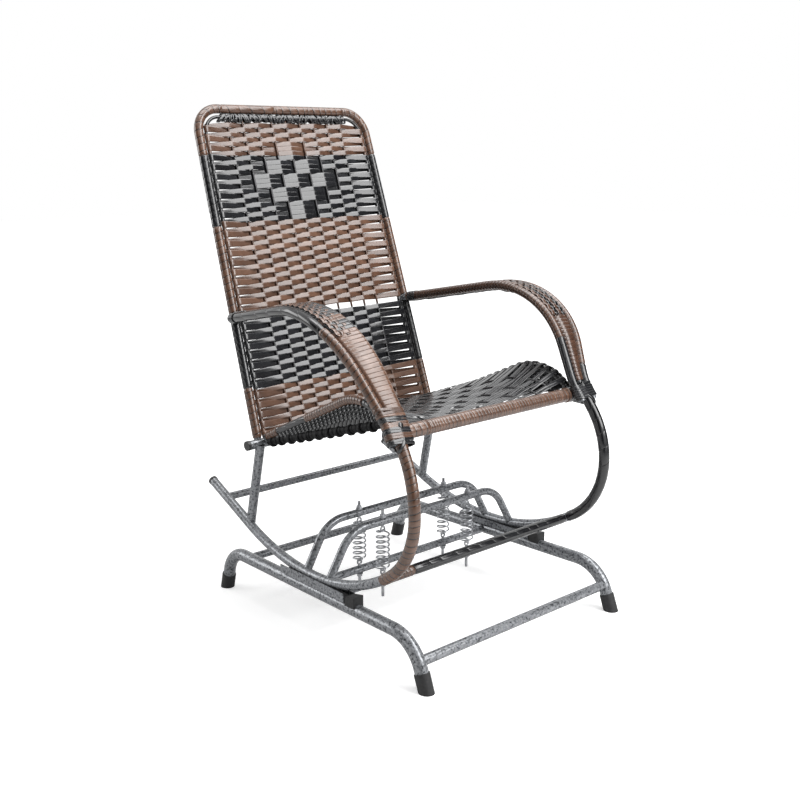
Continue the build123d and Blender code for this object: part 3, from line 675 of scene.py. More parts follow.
# Windings of the back frame and the rod inside it
FRAME_FOOT_V = 12.0
SHOULDER_V = 593.0
ROD_TOP_V = 638.0
FRAME_CORNER_R = 54.0
FRAME_CORE = 8.0
FRAME_STRAND = 1.4
FRAME_PITCH = 14.5
CORNER_RUN = 40.0
LOOSE_RUN = 130.0
frame_brown, frame_black = Web(), Web()
frame_zones = [
    (FRAME_FOOT_V, 113.0, frame_brown),
    (113.0, 262.0, frame_black),
    (262.0, 445.0, frame_brown),
    (445.0, SHOULDER_V, frame_black),
]
outline = [(-1, FRAME_FOOT_V), (-1, BACK_TOP_V), (1, BACK_TOP_V), (1, FRAME_FOOT_V)]
frame_route = Route([on_back(side * back_half(v), v) for side, v in outline], (FRAME_CORNER_R,) * 2)
whole = frame_route.length


def wind_frame(web, start, end, pitch, wander, tones):
    wound(web, frame_route, start, end, FRAME_CORE, FRAME_STRAND, pitch, wander, tones)


for low, high, web in frame_zones:
    start, end = low - FRAME_FOOT_V, high - FRAME_FOOT_V
    wind_frame(web, start, end, FRAME_PITCH, wander=0.12, tones=(0.3, 0.8))
    wind_frame(web, whole - end, whole - start, FRAME_PITCH, wander=0.12, tones=(0.3, 0.8))
shoulder = SHOULDER_V - FRAME_FOOT_V
corner = BACK_TOP_V - FRAME_FOOT_V + CORNER_RUN
loose = corner + LOOSE_RUN
wind_frame(frame_brown, shoulder, corner, FRAME_PITCH, wander=0.15, tones=(0.3, 0.8))
wind_frame(frame_brown, corner, loose, 2 * FRAME_PITCH, wander=0.2, tones=(0.25, 0.75))
wind_frame(frame_brown, loose, whole - corner, 15.0, wander=0.5, tones=(0.25, 0.75))
wind_frame(
    frame_brown, whole - corner, whole - shoulder, FRAME_PITCH, wander=0.15, tones=(0.3, 0.8)
)
for side in SIDES.values():
    rod_ends = [on_back(side * (back_half(v) - ROD_IN), v) for v in (FRAME_FOOT_V, ROD_TOP_V)]
    rod_route = Route(rod_ends)
    for low, high, web in frame_zones + [(SHOULDER_V, ROD_TOP_V, frame_brown)]:
        start, end = low - FRAME_FOOT_V, high - FRAME_FOOT_V
        tones = (0.4, 0.9)
        wound(web, rod_route, start, end, ROD_CORE, ROD_STRAND, FRAME_PITCH, 0.1, tones, sides=12)
frame_brown.build("back_frame_winding_brown", BROWN, "brown_strand", ["back_wrap"])
frame_black.build("back_frame_winding_black", BLACK, "black_strand")


# Front loops, front rail, lower crossbar and seat bows
LOOP = [
    (257.5, -246.34, 172.48),
    (259.39, -329.84, 220.69),
    (259.39, -329.84, 364.58),
    (250.1, -273.07, 452.0),
]
LOOP_RADII = (150, 190)
LOOP_TOP_Z = 447.0
LOOP_CORE = 9.55
LOOP_STRAND = 1.35
RAIL_HALF, RAIL_Y, RAIL_Z = 226.0, -257.39, 438.0
RAIL_CORE = 12.5
RAIL_WIDE_RUN = 60.0
BAR_HALF, BAR_Y, BAR_Z = 244.57, -241.84, 169.92
BAR_CORE = 9.0
BAR_BROWN_RUN = 62.0
BAR_STRAND = 1.0
BOW = [(226.33, 143.16, 353), (239.73, -178.89, 501), (243, RAIL_Y, RAIL_Z)]
BOW_RADII = (110,)
BOW_CORE = 6.4
BOW_WANDER = 0.25
BOW_REAR_BARE, BOW_FRONT_BARE = 10.0, 18.0
winding_brown, winding_black = Web(), Web()
for side, web, pitch, tones in (
    (-1, winding_brown, 12.5, (0.35, 0.85)),
    (1, winding_black, 30.0, (0.0, 0.3)),
):
    loop = Route(mirrored(side, LOOP), LOOP_RADII)
    end = loop.s[np.argmax(loop.p[:, 2] > LOOP_TOP_Z)]
    wound(web, loop, 0, end, LOOP_CORE, LOOP_STRAND, pitch, wander=0.25, tones=tones)
rail = Route([(side * RAIL_HALF, RAIL_Y, RAIL_Z) for side in SIDES.values()])
bar = Route([(side * BAR_HALF, BAR_Y, BAR_Z) for side in SIDES.values()])
for web, route, start, end, core, pitch, wander, tones in (
    (winding_brown, rail, 0, RAIL_WIDE_RUN, RAIL_CORE, 13.0, 0.15, (0.4, 0.85)),
    (winding_brown, rail, RAIL_WIDE_RUN, rail.length, RAIL_CORE, 7.5, 0.4, (0.3, 0.9)),
    (winding_brown, bar, 0, BAR_BROWN_RUN, BAR_CORE, 9.0, 0.25, (0.2, 0.6)),
    (winding_black, bar, BAR_BROWN_RUN, bar.length, BAR_CORE, 34.0, 0.3, (0.2, 0.8)),
):
    wound(web, route, start, end, core, BAR_STRAND, pitch, wander, tones)
# Shares of the bow's length, strand, thickness, pitch and tones
right_bow = (
    (0.0, 0.1, winding_brown, 2.2, 9.0, (0.4, 0.9)),
    (0.1, 0.36, winding_black, 1.3, 40.0, (0.6, 1.0)),
    (0.36, 0.82, winding_brown, 2.2, 9.0, (0.5, 1.0)),
    (0.82, 1.0, winding_black, 1.3, 18.0, (0.3, 0.8)),
)
left_bow = ((0.0, 1.0, winding_black, 1.3, 9.0, (0.3, 0.8)),)
for side, bow_zones in ((-1, right_bow), (1, left_bow)):
    bow = Route(mirrored(side, BOW), BOW_RADII)
    run = bow.length - BOW_FRONT_BARE - BOW_REAR_BARE
    for first, last, web, thick, pitch, tones in bow_zones:
        start, end = BOW_REAR_BARE + run * first, BOW_REAR_BARE + run * last
        wound(web, bow, start, end, BOW_CORE, thick, pitch, BOW_WANDER, tones)


# Seat: strands from bow to bow, three rows a band, over cords that run from the back to the rail
SEAT_CORDS = [-185.0 + 37.0 * k for k in range(11)]
SEAT_CORD_R = 1.6
SEAT_CORD_ENDS = (158.0, -249.0)
SEAT_LIFT = 1.2
SEAT_RIGHT_IN, SEAT_LEFT_IN = 5.0, 4.0
SEAT_ROWS = [-246.0 + ROW_STEP * i for i in range(40)]
SEAT_ROW_HALF = 4.9
SEAT_TURN_HALF = 4.8
SEAT_TURN_R = 8.7
SEAT_TURN = np.radians([105, 80, 50, 20, -15, -50, -85])
SEAT_REAR_Y = BACK_FOOT[1]
SEAT_REAR_Z = 372.0
SEAT_RISE = 69.0
SEAT_DEPTH = SEAT_REAR_Y - RAIL_Y
BOW_LAST_Y = 148.0
# Height of the strands over the bows' axes, with the left edge's rise toward front and rear
RIGHT_EDGE_OVER, LEFT_EDGE_OVER = 2.0, 7.0
CROWN_Y = (-240, -215, -170, -40, 150)
CROWN = (12, 11, 0, 0, 15)
# Strands drawn closer together at the left edge, and narrower where they fan out in front
FRONT_GATHER_Y = -120.0
FRONT_GATHER, REAR_GATHER = 0.25, 0.55
FAN_Y, FAN_DEPTH = -160.0, 40.0
FAN_X, FAN_REACH = 70.0, 110.0
FAN_NARROW = 0.42
bow_line = Route(BOW, BOW_RADII)


def bow_at(y):
    """Half-width and height of the bow's axis at y."""
    return [np.interp(-np.asarray(y, float), -bow_line.p[:, 1], bow_line.p[:, k]) for k in (0, 2)]


def seat_at(x, y):
    x, y = np.broadcast_arrays(np.asarray(x, float), np.asarray(y, float))
    half, edge = bow_at(y)
    middle = SEAT_REAR_Z + (SEAT_REAR_Y - y) / SEAT_DEPTH * SEAT_RISE
    crown = np.interp(y, CROWN_Y, CROWN)
    edge = edge + np.where(x > 0, LEFT_EDGE_OVER + crown, RIGHT_EDGE_OVER)
    return np.stack([x, y, middle + (edge - middle) * (x / half) ** 2], -1)


def seat_out(x, y):
    a = seat_at(x + 0.5, y) - seat_at(x - 0.5, y)
    b = seat_at(x, y + 0.5) - seat_at(x, y - 0.5)
    return unit(np.cross(a, b))


seat = Web()
for i, y in enumerate(SEAT_ROWS):
    gather = FRONT_GATHER if y < FRONT_GATHER_Y else REAR_GATHER
    at_left = gathered(SEAT_ROWS, i, i + 1 if i % 2 == 0 else i - 1, gather)
    half, _ = bow_at(min(y, BOW_LAST_Y))
    x_at = [-half + SEAT_RIGHT_IN] + SEAT_CORDS + [half - SEAT_LEFT_IN]
    y_at = [y] * 10 + [(3 * y + at_left) / 4, (y + at_left) / 2, at_left]
    lifts = [SEAT_LIFT if (i // 3 + k) % 2 == 0 else -SEAT_LIFT for k in range(len(SEAT_CORDS))]
    xs = np.array(through(x_at, SEAT_SHARES))
    ys = np.array(through(y_at, SEAT_SHARES))
    lift = np.array(through([0.0] + lifts + [1.0], ease(SEAT_SHARES)))
    half, height = bow_at(min(at_left, BOW_LAST_Y))
    over = [
        (half + SEAT_TURN_R * math.cos(a), at_left, height + SEAT_TURN_R * math.sin(a))
        for a in SEAT_TURN
    ]
    line = np.concatenate([seat_at(xs, ys) + lift[:, None] * seat_out(xs, ys), over])
    slope = (seat_at(xs, ys + 1)[:, 2] - seat_at(xs, ys - 1)[:, 2]) / 2
    across = np.concatenate([Y + slope[:, None] * Z, [Y] * len(over)])
    half_w = SEAT_ROW_HALF * np.sqrt(1 + slope**2)
    half_w = np.concatenate([half_w, [SEAT_TURN_HALF] * len(over)])
    fan = np.clip((FAN_Y - y) / FAN_DEPTH, 0, 1) * np.clip((line[:, 0] - FAN_X) / FAN_REACH, 0, 1)
    half_w = half_w * (1 - FAN_NARROW * fan)
    strip(seat, line, across, half_w, STRAND_HALF_T, rng.uniform(0.4, 1.0))
for x in SEAT_CORDS:
    line = seat_at(x, np.linspace(*SEAT_CORD_ENDS, 60))
    cord(seat, line, SEAT_CORD_R, rng.uniform(0.1, 0.5))
seat.build("seat_strands", BLACK, "black_strand", ["seat_weave"])

# Seat sides: strands from the bow down to the chord, and the knotted rope along it
CHORD = [(226, 151.16, 340), (242.19, -237.84, 453.68)]
CHORD_CORE = 4.05
ROPE_REAR_BARE, ROPE_FRONT_BARE = 24.0, 6.0
BOW_UNDER = 4.0
SIDE_STEP = 6.2
SIDE_ENDS = (-226.0, 124.0)
# How far the foot of every second strand, and of those between, lies behind its top
SIDE_FOOT_EVEN, SIDE_FOOT_ODD = -4.0, 14.0
SIDE_SWAY = 1.6
# Shares of the way down at which strands run lengthwise, and how far they wave
SIDE_WEFT = ((0.1, 1.6), (0.26, 2.0), (0.42, 2.0), (0.58, 2.0))
SIDE_WEFT_ENDS = (-215.0, 100.0)
SIDE_WEFT_OUT = 1.5
SIDE_WEFT_SHIFT = 9.0
SIDE_WEFT_TILT = 0.8
ROPE_KNOT_FIRST, ROPE_KNOT_LAST = 36.0, 20.0
ROPE_KNOT_STEP, ROPE_KNOT_STRAY = 33.0, 3.0
ROPE_KNOT_HALF, ROPE_KNOT_HIGH, ROPE_KNOT_SAG = 7.6, 7.8, 1.2


def chord_z(y):
    (_, rear_y, rear_z), (_, front_y, front_z) = CHORD
    return rear_z + (rear_y - y) / (rear_y - front_y) * (front_z - rear_z)


sides_web, rope = Web(), Web()
for side in SIDES.values():
    for i, y in enumerate(np.arange(*SIDE_ENDS, SIDE_STEP)):
        foot_y = y + (SIDE_FOOT_ODD if i % 2 else SIDE_FOOT_EVEN)
        half, height = bow_at(y)
        top = height - BOW_UNDER
        depth = np.linspace(0, 1, 9)
        sway = SIDE_SWAY * np.sin(math.pi * depth) * (1 if i % 2 else -1)
        drop = (chord_z(foot_y) - top) * depth
        line = np.stack([side * (half + sway), y + (foot_y - y) * depth, top + drop], 1)
        strip(sides_web, line, Y, half_w=4.8, half_t=0.6, shade=rng.uniform(0.5, 1.0))
    for share, reach in SIDE_WEFT:
        y = np.arange(*SIDE_WEFT_ENDS, ROUTE_STEP)
        half, height = bow_at(y)
        top = height - BOW_UNDER
        swing = 2 * math.pi * y / (2 * SIDE_STEP) + SIDE_WEFT_SHIFT * share
        wave = SIDE_WEFT_OUT + reach * np.sin(swing)
        line = np.stack([side * (half + wave), y, top + (chord_z(y) - top) * share], 1)
        across = Z - SIDE_WEFT_TILT * side * X
        strip(sides_web, line, across, half_w=4.6, half_t=0.7, shade=rng.uniform(0.8, 1.0))
    chord = Route(mirrored(side, CHORD))
    wound(
        rope,
        chord,
        ROPE_REAR_BARE,
        chord.length - ROPE_FRONT_BARE,
        CHORD_CORE,
        thick=3.8,
        pitch=11.0,
        wander=0.3,
        tones=(0.0, 1.0),
        swell=0.3,
        sides=16,
    )
    for s in np.arange(ROPE_KNOT_FIRST, chord.length - ROPE_KNOT_LAST, ROPE_KNOT_STEP):
        p, t, _, _ = chord.at(s + rng.uniform(-ROPE_KNOT_STRAY, ROPE_KNOT_STRAY))
        upright = unit(np.cross(t, X))
        ring = [
            p
            + ROPE_KNOT_HALF * math.cos(a) * X
            + (ROPE_KNOT_HIGH * math.sin(a) - ROPE_KNOT_SAG) * upright
            for a in full_turn(20)
        ]
        shade = rng.uniform(0.0, 1.0)
        strip(rope, ring, t, half_w=4.6, half_t=2.6, shade=shade, closed=True)
side_nodes = ["seat_side_weave_right", "seat_side_weave_left"]
sides_web.build("seat_side_strands", BLACK, "black_strand", side_nodes)
rope.build("seat_side_rope", ROPE, "black_strand")


# Arms: wound tubes with a leaf of strands between them
ARM_OUTER = [
    (270.28, -288.65, 428),
    (266.67, -266.57, 462),
    (326, -157.84, 661),
    (245.95, 224.28, 586),
]
ARM_INNER = [
    (235.03, -288.65, 428),
    (231.42, -266.57, 462),
    (257, -157.84, 661),
    (229.45, 232.28, 586),
]
ARM_RADII = (150, 200)
ARM_CORE = 8.0
OUTER_STRAND, INNER_STRAND = 1.3, 1.0
ARM_FRONT_BARE = 6.0
INNER_REAR_BARE = 14.0
LEAF_STEP = 8.5
LEAF_START = {-1: 0.055, 1: 0.035}
LEAF_END = 0.935
LEAF_UP = np.array([0, -0.5, 1.0])
# The leaf's section: beside the outer tube, over or against the inner tube
LEAF_NEAR = (9.2, 0.0)
LEAF_NEAR_EDGE = (9.9, 5.2)
LEAF_RAMP = 14.0
LEAF_TURN_R = 9.5
LEAF_TURN = np.radians([75, 50, 25, 0, -25, -50, -75])
# Shares of the arm's length
RIGHT_SWITCH = 0.385
RIGHT_LEAF_SWITCH, RIGHT_LEAF_STRAY = 0.4, 0.05
LEFT_LEAF_SWITCH = 0.07
LEFT_OUTER_BLACK, LEFT_INNER_BLACK = 0.12, 0.22
LEFT_BETWEEN = 0.48
# Lanes of the strands that run lengthwise over the leaf: where they start and end, how they wave
LANES = 5
LANE_ENDS = {-1: (0.34, 0.9), 1: (0.3, 0.56)}
LANE_FIRST, LANE_STEP = 15.0, 10.0
LANE_OVER, LANE_WAVE = 8.6, 1.35
LANE_LEAST = 6
# The same under the left leaf, as shares of its width
UNDER_LANES = (0.3, 0.6, 0.9)
UNDER_ENDS = (0.5, 0.92)
UNDER_DROP, UNDER_STRAY = -10.9, 0.8
# Rings round the arms' rear ends
END_RUN, END_R = 40.0, 9.4
END_RINGS = (12.0, 19.0, 26.0)


def leaf_frame(outer, inner, share):
    """Place on the outer tube, the ways along, across and out of the leaf, and its width."""
    a, along_outer, _, _ = outer.at(share * outer.length)
    b, along_inner, _, _ = inner.at(share * inner.length)
    along = unit(along_outer + along_inner)
    e1 = unit(b - a)
    e2 = unit(np.cross(e1, along))
    if e2 @ LEAF_UP < 0:
        e2 = -e2
    return a, along, e1, e2, np.linalg.norm(b - a)


def leaf_ring(outer, inner, share, between):
    """The closed way of a strand from the outer tube over the inner one, or between the two."""
    a, along, e1, e2, wide = leaf_frame(outer, inner, share)
    step = min(LEAF_RAMP, 0.5 * wide)
    middle = 0.5 * (step + wide)
    edge, rise = LEAF_NEAR_EDGE
    if between:
        middle -= 3
        flat = [LEAF_NEAR, LEAF_NEAR_EDGE, (step, 7.2), (middle, 7.4)]
        flat += [(wide - 10, rise), (wide - 9.3, 0.0), (wide - 10, -rise)]
        flat += [(middle, -7.4), (step, -7.2), (edge, -rise)]
    else:
        flat = [LEAF_NEAR, LEAF_NEAR_EDGE, (step, 7.6), (middle, 8.6), (wide - 2, 9.4)]
        flat += [(wide + LEAF_TURN_R * math.cos(t), LEAF_TURN_R * math.sin(t)) for t in LEAF_TURN]
        flat += [(wide - 2, -9.4), (middle, -8.6), (step, -7.4), (edge, -rise)]
    return np.array([a + p * e1 + q * e2 for p, q in flat]), along


arm_brown, arm_black = Web(), Web()


def wind_arm(web, route, start, end, thick, pitch, wander, tones):
    wound(web, route, start, end, ARM_CORE, thick, pitch, wander, tones)


for side in SIDES.values():
    right = side < 0
    outer = Route(mirrored(side, ARM_OUTER), ARM_RADII)
    inner = Route(mirrored(side, ARM_INNER), ARM_RADII)
    begin = ARM_FRONT_BARE
    inner_end = inner.length - INNER_REAR_BARE
    if right:
        switch = RIGHT_SWITCH * outer.length
        outer_end = outer.length - 3
        wind_arm(arm_brown, outer, begin, switch, OUTER_STRAND, 11.0, 0.12, (0.35, 0.85))
        wind_arm(arm_black, outer, switch, outer_end, OUTER_STRAND, 60.0, 0.2, (0.1, 0.5))
        wind_arm(arm_brown, inner, begin, inner_end, INNER_STRAND, 11.0, 0.12, (0.35, 0.85))
    else:
        switch = LEFT_OUTER_BLACK * outer.length
        outer_end = outer.length - 6
        wind_arm(arm_black, outer, begin, switch, OUTER_STRAND, 11.0, 0.12, (0.5, 1.0))
        wind_arm(arm_brown, outer, switch, outer_end, OUTER_STRAND, 10.0, 0.2, (0.1, 0.5))
        switch = LEFT_INNER_BLACK * inner.length
        wind_arm(arm_black, inner, begin, switch, INNER_STRAND, 26.0, 0.3, (0.3, 0.9))
        wind_arm(arm_brown, inner, switch, inner_end, INNER_STRAND, 9.0, 0.2, (0.1, 0.5))
    for share in np.arange(LEAF_START[side], LEAF_END, LEAF_STEP / outer.length):
        ring, along = leaf_ring(outer, inner, share, not right and share < LEFT_BETWEEN)
        if right:
            stray = rng.uniform(-RIGHT_LEAF_STRAY, RIGHT_LEAF_STRAY)
            dark, tone = share + stray > RIGHT_LEAF_SWITCH, rng.uniform(0.6, 1.0)
        else:
            dark, tone = share < LEFT_LEAF_SWITCH, rng.uniform(0.0, 0.16)
        web = arm_black if dark else arm_brown
        strip(web, ring, along, half_w=4.3, half_t=0.5, shade=tone, closed=True)
    # Strands that run lengthwise over and under the leaf
    for lane in range(LANES):
        reach = LANE_FIRST + LANE_STEP * lane
        line = []
        for n, share in enumerate(np.arange(*LANE_ENDS[side], LEAF_STEP / 2 / outer.length)):
            a, _, e1, e2, wide = leaf_frame(outer, inner, share)
            if reach > wide - 1:
                break
            wave = LANE_WAVE * math.cos(math.pi * (n / 2.0 + lane))
            line.append(a + reach * e1 + (LANE_OVER + wave) * e2)
        if len(line) > LANE_LEAST:
            web = arm_brown if right or lane % 2 else arm_black
            tone = rng.uniform(0.1, 0.7) if right else rng.uniform(0.0, 0.2)
            strip(web, line, e1, half_w=4.4, half_t=0.5, shade=tone)
    if not right:
        for part in UNDER_LANES:
            line = []
            for share in np.arange(*UNDER_ENDS, LEAF_STEP / outer.length):
                a, _, e1, e2, wide = leaf_frame(outer, inner, share)
                drop = UNDER_DROP + rng.uniform(-UNDER_STRAY, UNDER_STRAY)
                line.append(a + part * wide * e1 + drop * e2)
            strip(arm_black, line, e1, half_w=3.5, half_t=0.8, shade=rng.uniform(0.5, 1.0))
    # Rings of strand that tie the rear ends together
    ends = [(r.at(r.length - END_RUN)[0], r.at(r.length)[0], END_R) for r in (outer, inner)]
    for back in END_RINGS:
        end, along, _, _ = outer.at(outer.length - back)
        shade, lift = rng.uniform(0.2, 0.8), rng.uniform(0.8, 1.4)
        lash(arm_black, end, along, ends, width=7.4, shade=shade, lift=lift)
arm_brown.build("arm_strands_brown", BROWN, "brown_strand", ["arm_wraps_right", "arm_weave_right"])
arm_black.build("arm_strands_black", BLACK, "black_strand", ["arm_wraps_left", "arm_weave_left"])

# Lashings where arms, loops and front rail meet
LASH_ARM_R = 9.2
LASH_LOOP_R = 10.6
LASH_RAIL_R = 12.0
LASH_MIDDLE = (251.2, -279.8, 441.6)
LASH_STEP = 5.1
RISE_OUTER = (281.5, -239, 514)
RISE_INNER = (237.5, -239, 514)
# Offsets along the loop above which only the arms are tied, first bent and then straight
RISE_OFFSET, ARMS_OFFSET = 24.0, 11.0
# Turns from the top down, b for brown and k for black, and the first one's offset
LASH_TURNS = {-1: ("bbbkkbbkkbbkk", 46.0), 1: ("kkkkkk", 16.0)}
# Rings round the rail's ends: distance from the middle, strand, width, shade, lift, half-thickness
RAIL_RINGS = ((228, winding_black, 9.0, 0.4, 1.9, 1.3), (221, winding_brown, 5.0, 0.6, 2.0, 1.2))
RAIL_END_IN, RAIL_END_OUT = 212, 259
# Slanting ties round rail and loop: distance from the middle and tilt
CROSS_TIES = ((236, -0.9), (241, -0.7), (238, 0.8))
CROSS_TIE_Y = -267.0
for side in SIDES.values():
    loop_low, loop_high = mirrored(side, LOOP[2:])
    out_low, out_high, out_rise = mirrored(side, ARM_OUTER[:2] + [RISE_OUTER])
    in_low, in_high, in_rise = mirrored(side, ARM_INNER[:2] + [RISE_INNER])
    lean = unit(np.subtract(loop_high, loop_low))
    loop_tube = (loop_low, loop_high, LASH_LOOP_R)
    rail_ends = [(side * x, RAIL_Y, RAIL_Z) for x in (RAIL_END_IN, RAIL_END_OUT)]
    rail_tube = (*rail_ends, LASH_RAIL_R)
    arms = [(out_low, out_high, LASH_ARM_R), (in_low, in_high, LASH_ARM_R)]
    rises = [(out_high, out_rise, LASH_ARM_R), (in_high, in_rise, LASH_ARM_R)]
    middle = np.array(mirrored(side, [LASH_MIDDLE])[0])
    letters, top = LASH_TURNS[side]
    for turn, letter in enumerate(letters):
        offset = top - LASH_STEP * turn
        if offset > RISE_OFFSET:
            tubes = rises
        elif offset > ARMS_OFFSET:
            tubes = arms
        else:
            tubes = [loop_tube] + arms
        web = winding_black if letter == "k" else winding_brown
        normal = lean + rng.uniform(-0.08, 0.08) * X
        shade, lift = rng.uniform(0.2, 0.9), rng.uniform(0.8, 1.5)
        lash(web, middle + offset * lean, normal, tubes, width=5.6, shade=shade, lift=lift)
    for reach, web, width, shade, lift, half_t in RAIL_RINGS:
        origin = (side * reach, RAIL_Y, RAIL_Z)
        lash(web, origin, X, [rail_tube], width, shade, lift, half_t)
    for reach, tilt in CROSS_TIES:
        origin, normal = (side * reach, CROSS_TIE_Y, RAIL_Z), side * X + tilt * lean
        tubes = [rail_tube, loop_tube]
        lash(winding_black, origin, normal, tubes, width=6.5, shade=0.3, lift=1.8, half_t=1.0)
brown_nodes = ["loop_wrap_right", "front_rail_wrap"]
black_nodes = ["loop_wrap_left", "front_lower_wrap", "bow_wraps"]
winding_brown.build("tube_winding_brown", BROWN, "brown_strand", brown_nodes)
winding_black.build("tube_winding_black", BLACK, "black_strand", black_nodes)

# Springs between base and chair
SPRING_ROWS = {"rear": -16.842, "front": -87.842}
SPRING_HALF = 118.0
SPRING_LOW, SPRING_HIGH = 106.75, 191.25
SPRING_TURNS = 8
SPRING_R = 12.6
SPRING_WIRE_R = 1.55
# Turns over which the coil draws in to its hook, and the hook's reach
SPRING_DRAW, SPRING_DRAW_SOFT = 0.45, 0.22
SPRING_HOOK = 7.0
for row, y in SPRING_ROWS.items():
    for name, side in SIDES.items():
        x = side * SPRING_HALF
        low, high = SPRING_LOW, SPRING_HIGH
        t = np.linspace(0, 1, 260)
        angle = 2 * math.pi * SPRING_TURNS * t - math.pi / 2
        draw = np.clip(np.minimum(t, 1 - t) * SPRING_TURNS / SPRING_DRAW, 0, 1)
        radius = SPRING_R * ease(draw, SPRING_DRAW_SOFT)
        rise = low + (high - low) * t
        coil = np.stack([x + radius * np.cos(angle), y + radius * np.sin(angle), rise], 1)
        coil[0, :2] = x, y
        coil[-1, :2] = x, y
        low_hook = (x, y + SPRING_HOOK, low - SPRING_WIRE_R)
        high_hook = (x, y - SPRING_HOOK, high + SPRING_WIRE_R)
        line = np.concatenate([[low_hook], coil, [high_hook]])
        spring = Web()
        strip(spring, line, Z + 0.2 * X, SPRING_WIRE_R, SPRING_WIRE_R, 0.5, section=ROUND)
        label = row + "_" + name
        piece = spring.build("spring_coil_" + label, ZINC, "zinc", ["spring_" + label], body=None)
        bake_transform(piece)

# Rubber strips in the channels, which the runners press flat
STRIP_ENDS = (-145.84, 48.16)
STRIP_X, STRIP_Y = 252.9, -43.842
STRIP_SPLAY = 0.0227
STRIP_LOW, STRIP_TOP = 103.2, 108.1
STRIP_HALF = 9.5
STRIP_TOP_HALF = 8.6
STRIP_BEVEL = 0.7
RIB_HEIGHT, RIB_STEP = 0.35, 6.0
HOLLOW_DEPTH, HOLLOW_Y, HOLLOW_REACH = 0.95, -72.0, 22.0
for name, side in SIDES.items():
    rows = []
    for y in np.linspace(*STRIP_ENDS, 98):
        x = side * (STRIP_X - STRIP_SPLAY * (y - STRIP_Y))
        hollow = HOLLOW_DEPTH * math.exp(-(((y - HOLLOW_Y) / HOLLOW_REACH) ** 2))
        top = STRIP_TOP + RIB_HEIGHT * math.sin(2 * math.pi * y / RIB_STEP) - hollow
        rows.append(
            [
                (x - STRIP_HALF, y, STRIP_LOW),
                (x - STRIP_HALF, y, top - STRIP_BEVEL),
                (x - STRIP_TOP_HALF, y, top),
                (x + STRIP_TOP_HALF, y, top),
                (x + STRIP_HALF, y, top - STRIP_BEVEL),
                (x + STRIP_HALF, y, STRIP_LOW),
            ]
        )
    pad = Web()
    pad.add(rows, sleeve(len(rows), len(rows[0])), 0.5)
    pad_nodes = ["rubber_pad_" + name]
    piece = pad.build("rubber_strip_" + name, RUBBER, "black_rubber", pad_nodes, body="base")
    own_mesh(piece)


# Floor, light and camera, in metres
def staged(name, corners, material, shown=True):
    mesh = bpy.data.meshes.new(name)
    mesh.from_pydata(corners, [], [(0, 1, 2, 3)])
    mesh.materials.append(material)
    obj = bpy.data.objects.new(name, mesh)
    bpy.context.scene.collection.objects.link(obj)
    obj.visible_camera = shown


def matte(name, grey, rough):
    material, tree, shader = nodes_of(name)
    shader.inputs["Base Color"].default_value = (grey, grey, grey, 1)
    shader.inputs["Roughness"].default_value = rough
    shader.inputs["Specular IOR Level"].default_value = 0.0
    return material, tree, shader


# The floor glows to the camera alone, more the farther it lies from the chair
FLOOR_HALF = 12.0
FLOOR_NEAR, FLOOR_FAR = 0.6, 1.7
GLOW_NEAR, GLOW_FAR = 0.52, 1.0
floor_material, tree, shader = matte("floor", 0.8, 0.9)
shader.inputs["Emission Color"].default_value = (1, 1, 1, 1)
spot = tree.nodes.new("ShaderNodeTexCoord")
distance = tree.nodes.new("ShaderNodeVectorMath")
distance.operation = "LENGTH"
tree.links.new(spot.outputs["Object"], distance.inputs[0])
glow = spread(tree, distance.outputs["Value"], GLOW_NEAR, GLOW_FAR, FLOOR_NEAR, FLOOR_FAR)
sight = tree.nodes.new("ShaderNodeLightPath")
glow = reckoned(tree, "MULTIPLY", glow, sight.outputs["Is Camera Ray"])
tree.links.new(glow, shader.inputs["Emission Strength"])
floor_corners = [(-1, -1), (1, -1), (1, 1), (-1, 1)]
staged("floor", [(x * FLOOR_HALF, y * FLOOR_HALF, 0) for x, y in floor_corners], floor_material)

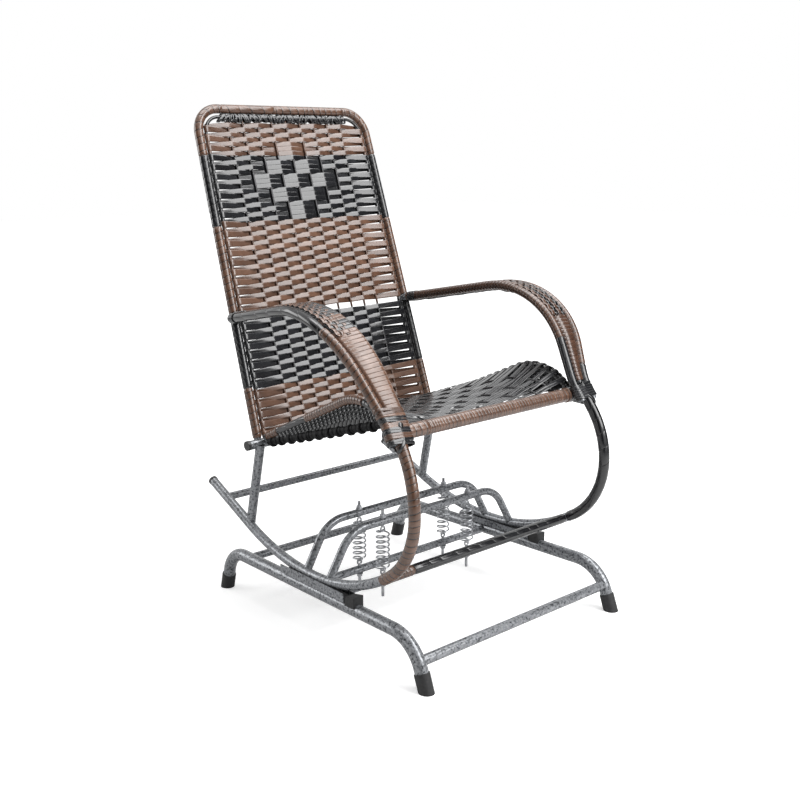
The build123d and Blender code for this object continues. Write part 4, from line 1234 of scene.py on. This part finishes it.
# Upright dark cards that the strands mirror
flag_material, _, _ = matte("flag", 0.02, 1.0)
for name, (x0, y0), (x1, y1), low, high in (
    ("flag_right", (1.38, -1.66), (2.6, 0.25), 0.2, 2.9),
    ("flag_front", (-3.4, -1.6), (-1.3, -3.4), 0.0, 2.6),
    ("flag_left", (-1.7, -0.7), (-1.7, 1.1), 0.8, 2.4),
):
    corners = [(x0, y0, low), (x1, y1, low), (x1, y1, high), (x0, y0, high)]
    staged(name, corners, flag_material, shown=False)

# White surroundings, brighter to the camera and in mirrored light than as a source of light
SKY_DIM, SKY_BRIGHT = 0.4, 1.0
world = bpy.data.worlds.new("world")
bpy.context.scene.world = world
world.use_nodes = True
tree = world.node_tree
sky = tree.nodes["Background"]
sky.inputs["Color"].default_value = (1, 1, 1, 1)
sight = tree.nodes.new("ShaderNodeLightPath").outputs
seen = reckoned(tree, "MAXIMUM", sight["Is Camera Ray"], sight["Is Glossy Ray"])
seen = reckoned(tree, "MAXIMUM", seen, sight["Is Transmission Ray"])
tree.links.new(spread(tree, seen, SKY_DIM, SKY_BRIGHT), sky.inputs["Strength"])


def softbox(name, place, target, width, height, power):
    light = bpy.data.lights.new(name, "AREA")
    light.shape = "RECTANGLE"
    light.size = width
    light.size_y = height
    light.energy = power
    obj = bpy.data.objects.new(name, light)
    obj.location = place
    x, y, z = np.subtract(place, target)
    obj.rotation_euler = (math.atan2(math.hypot(x, y), z), 0, math.atan2(x, -y))
    bpy.context.scene.collection.objects.link(obj)


softbox("key", (0.643, -1.854, 1.9), (0, 0.25, 0.75), width=1.5, height=2.2, power=60)
softbox("side", (1.05, -0.4, 2.4), (-0.27, -0.2, 0.58), width=1.8, height=1.1, power=30)
softbox("top", (0.0, 0.3, 3.0), (0, 0, 0.4), width=1.4, height=1.4, power=34)
softbox("rim", (-1.6, 1.95, 1.2), (-0.24, 0, 0.42), width=1.4, height=1.2, power=18)

CAMERA_PLACE = (-1.477, -1.628, 0.9225)
CAMERA_DIP = math.radians(12.91)
CAMERA_HEADING = math.radians(-42.37)
camera = bpy.data.cameras.new("camera")
camera.sensor_width = 36
camera.lens = 49.8
view = bpy.data.objects.new("camera", camera)
view.location = CAMERA_PLACE
view.rotation_euler = (math.pi / 2 - CAMERA_DIP, 0, CAMERA_HEADING)
bpy.context.scene.collection.objects.link(view)
bpy.context.scene.camera = view
bpy.context.scene.view_settings.view_transform = "Standard"
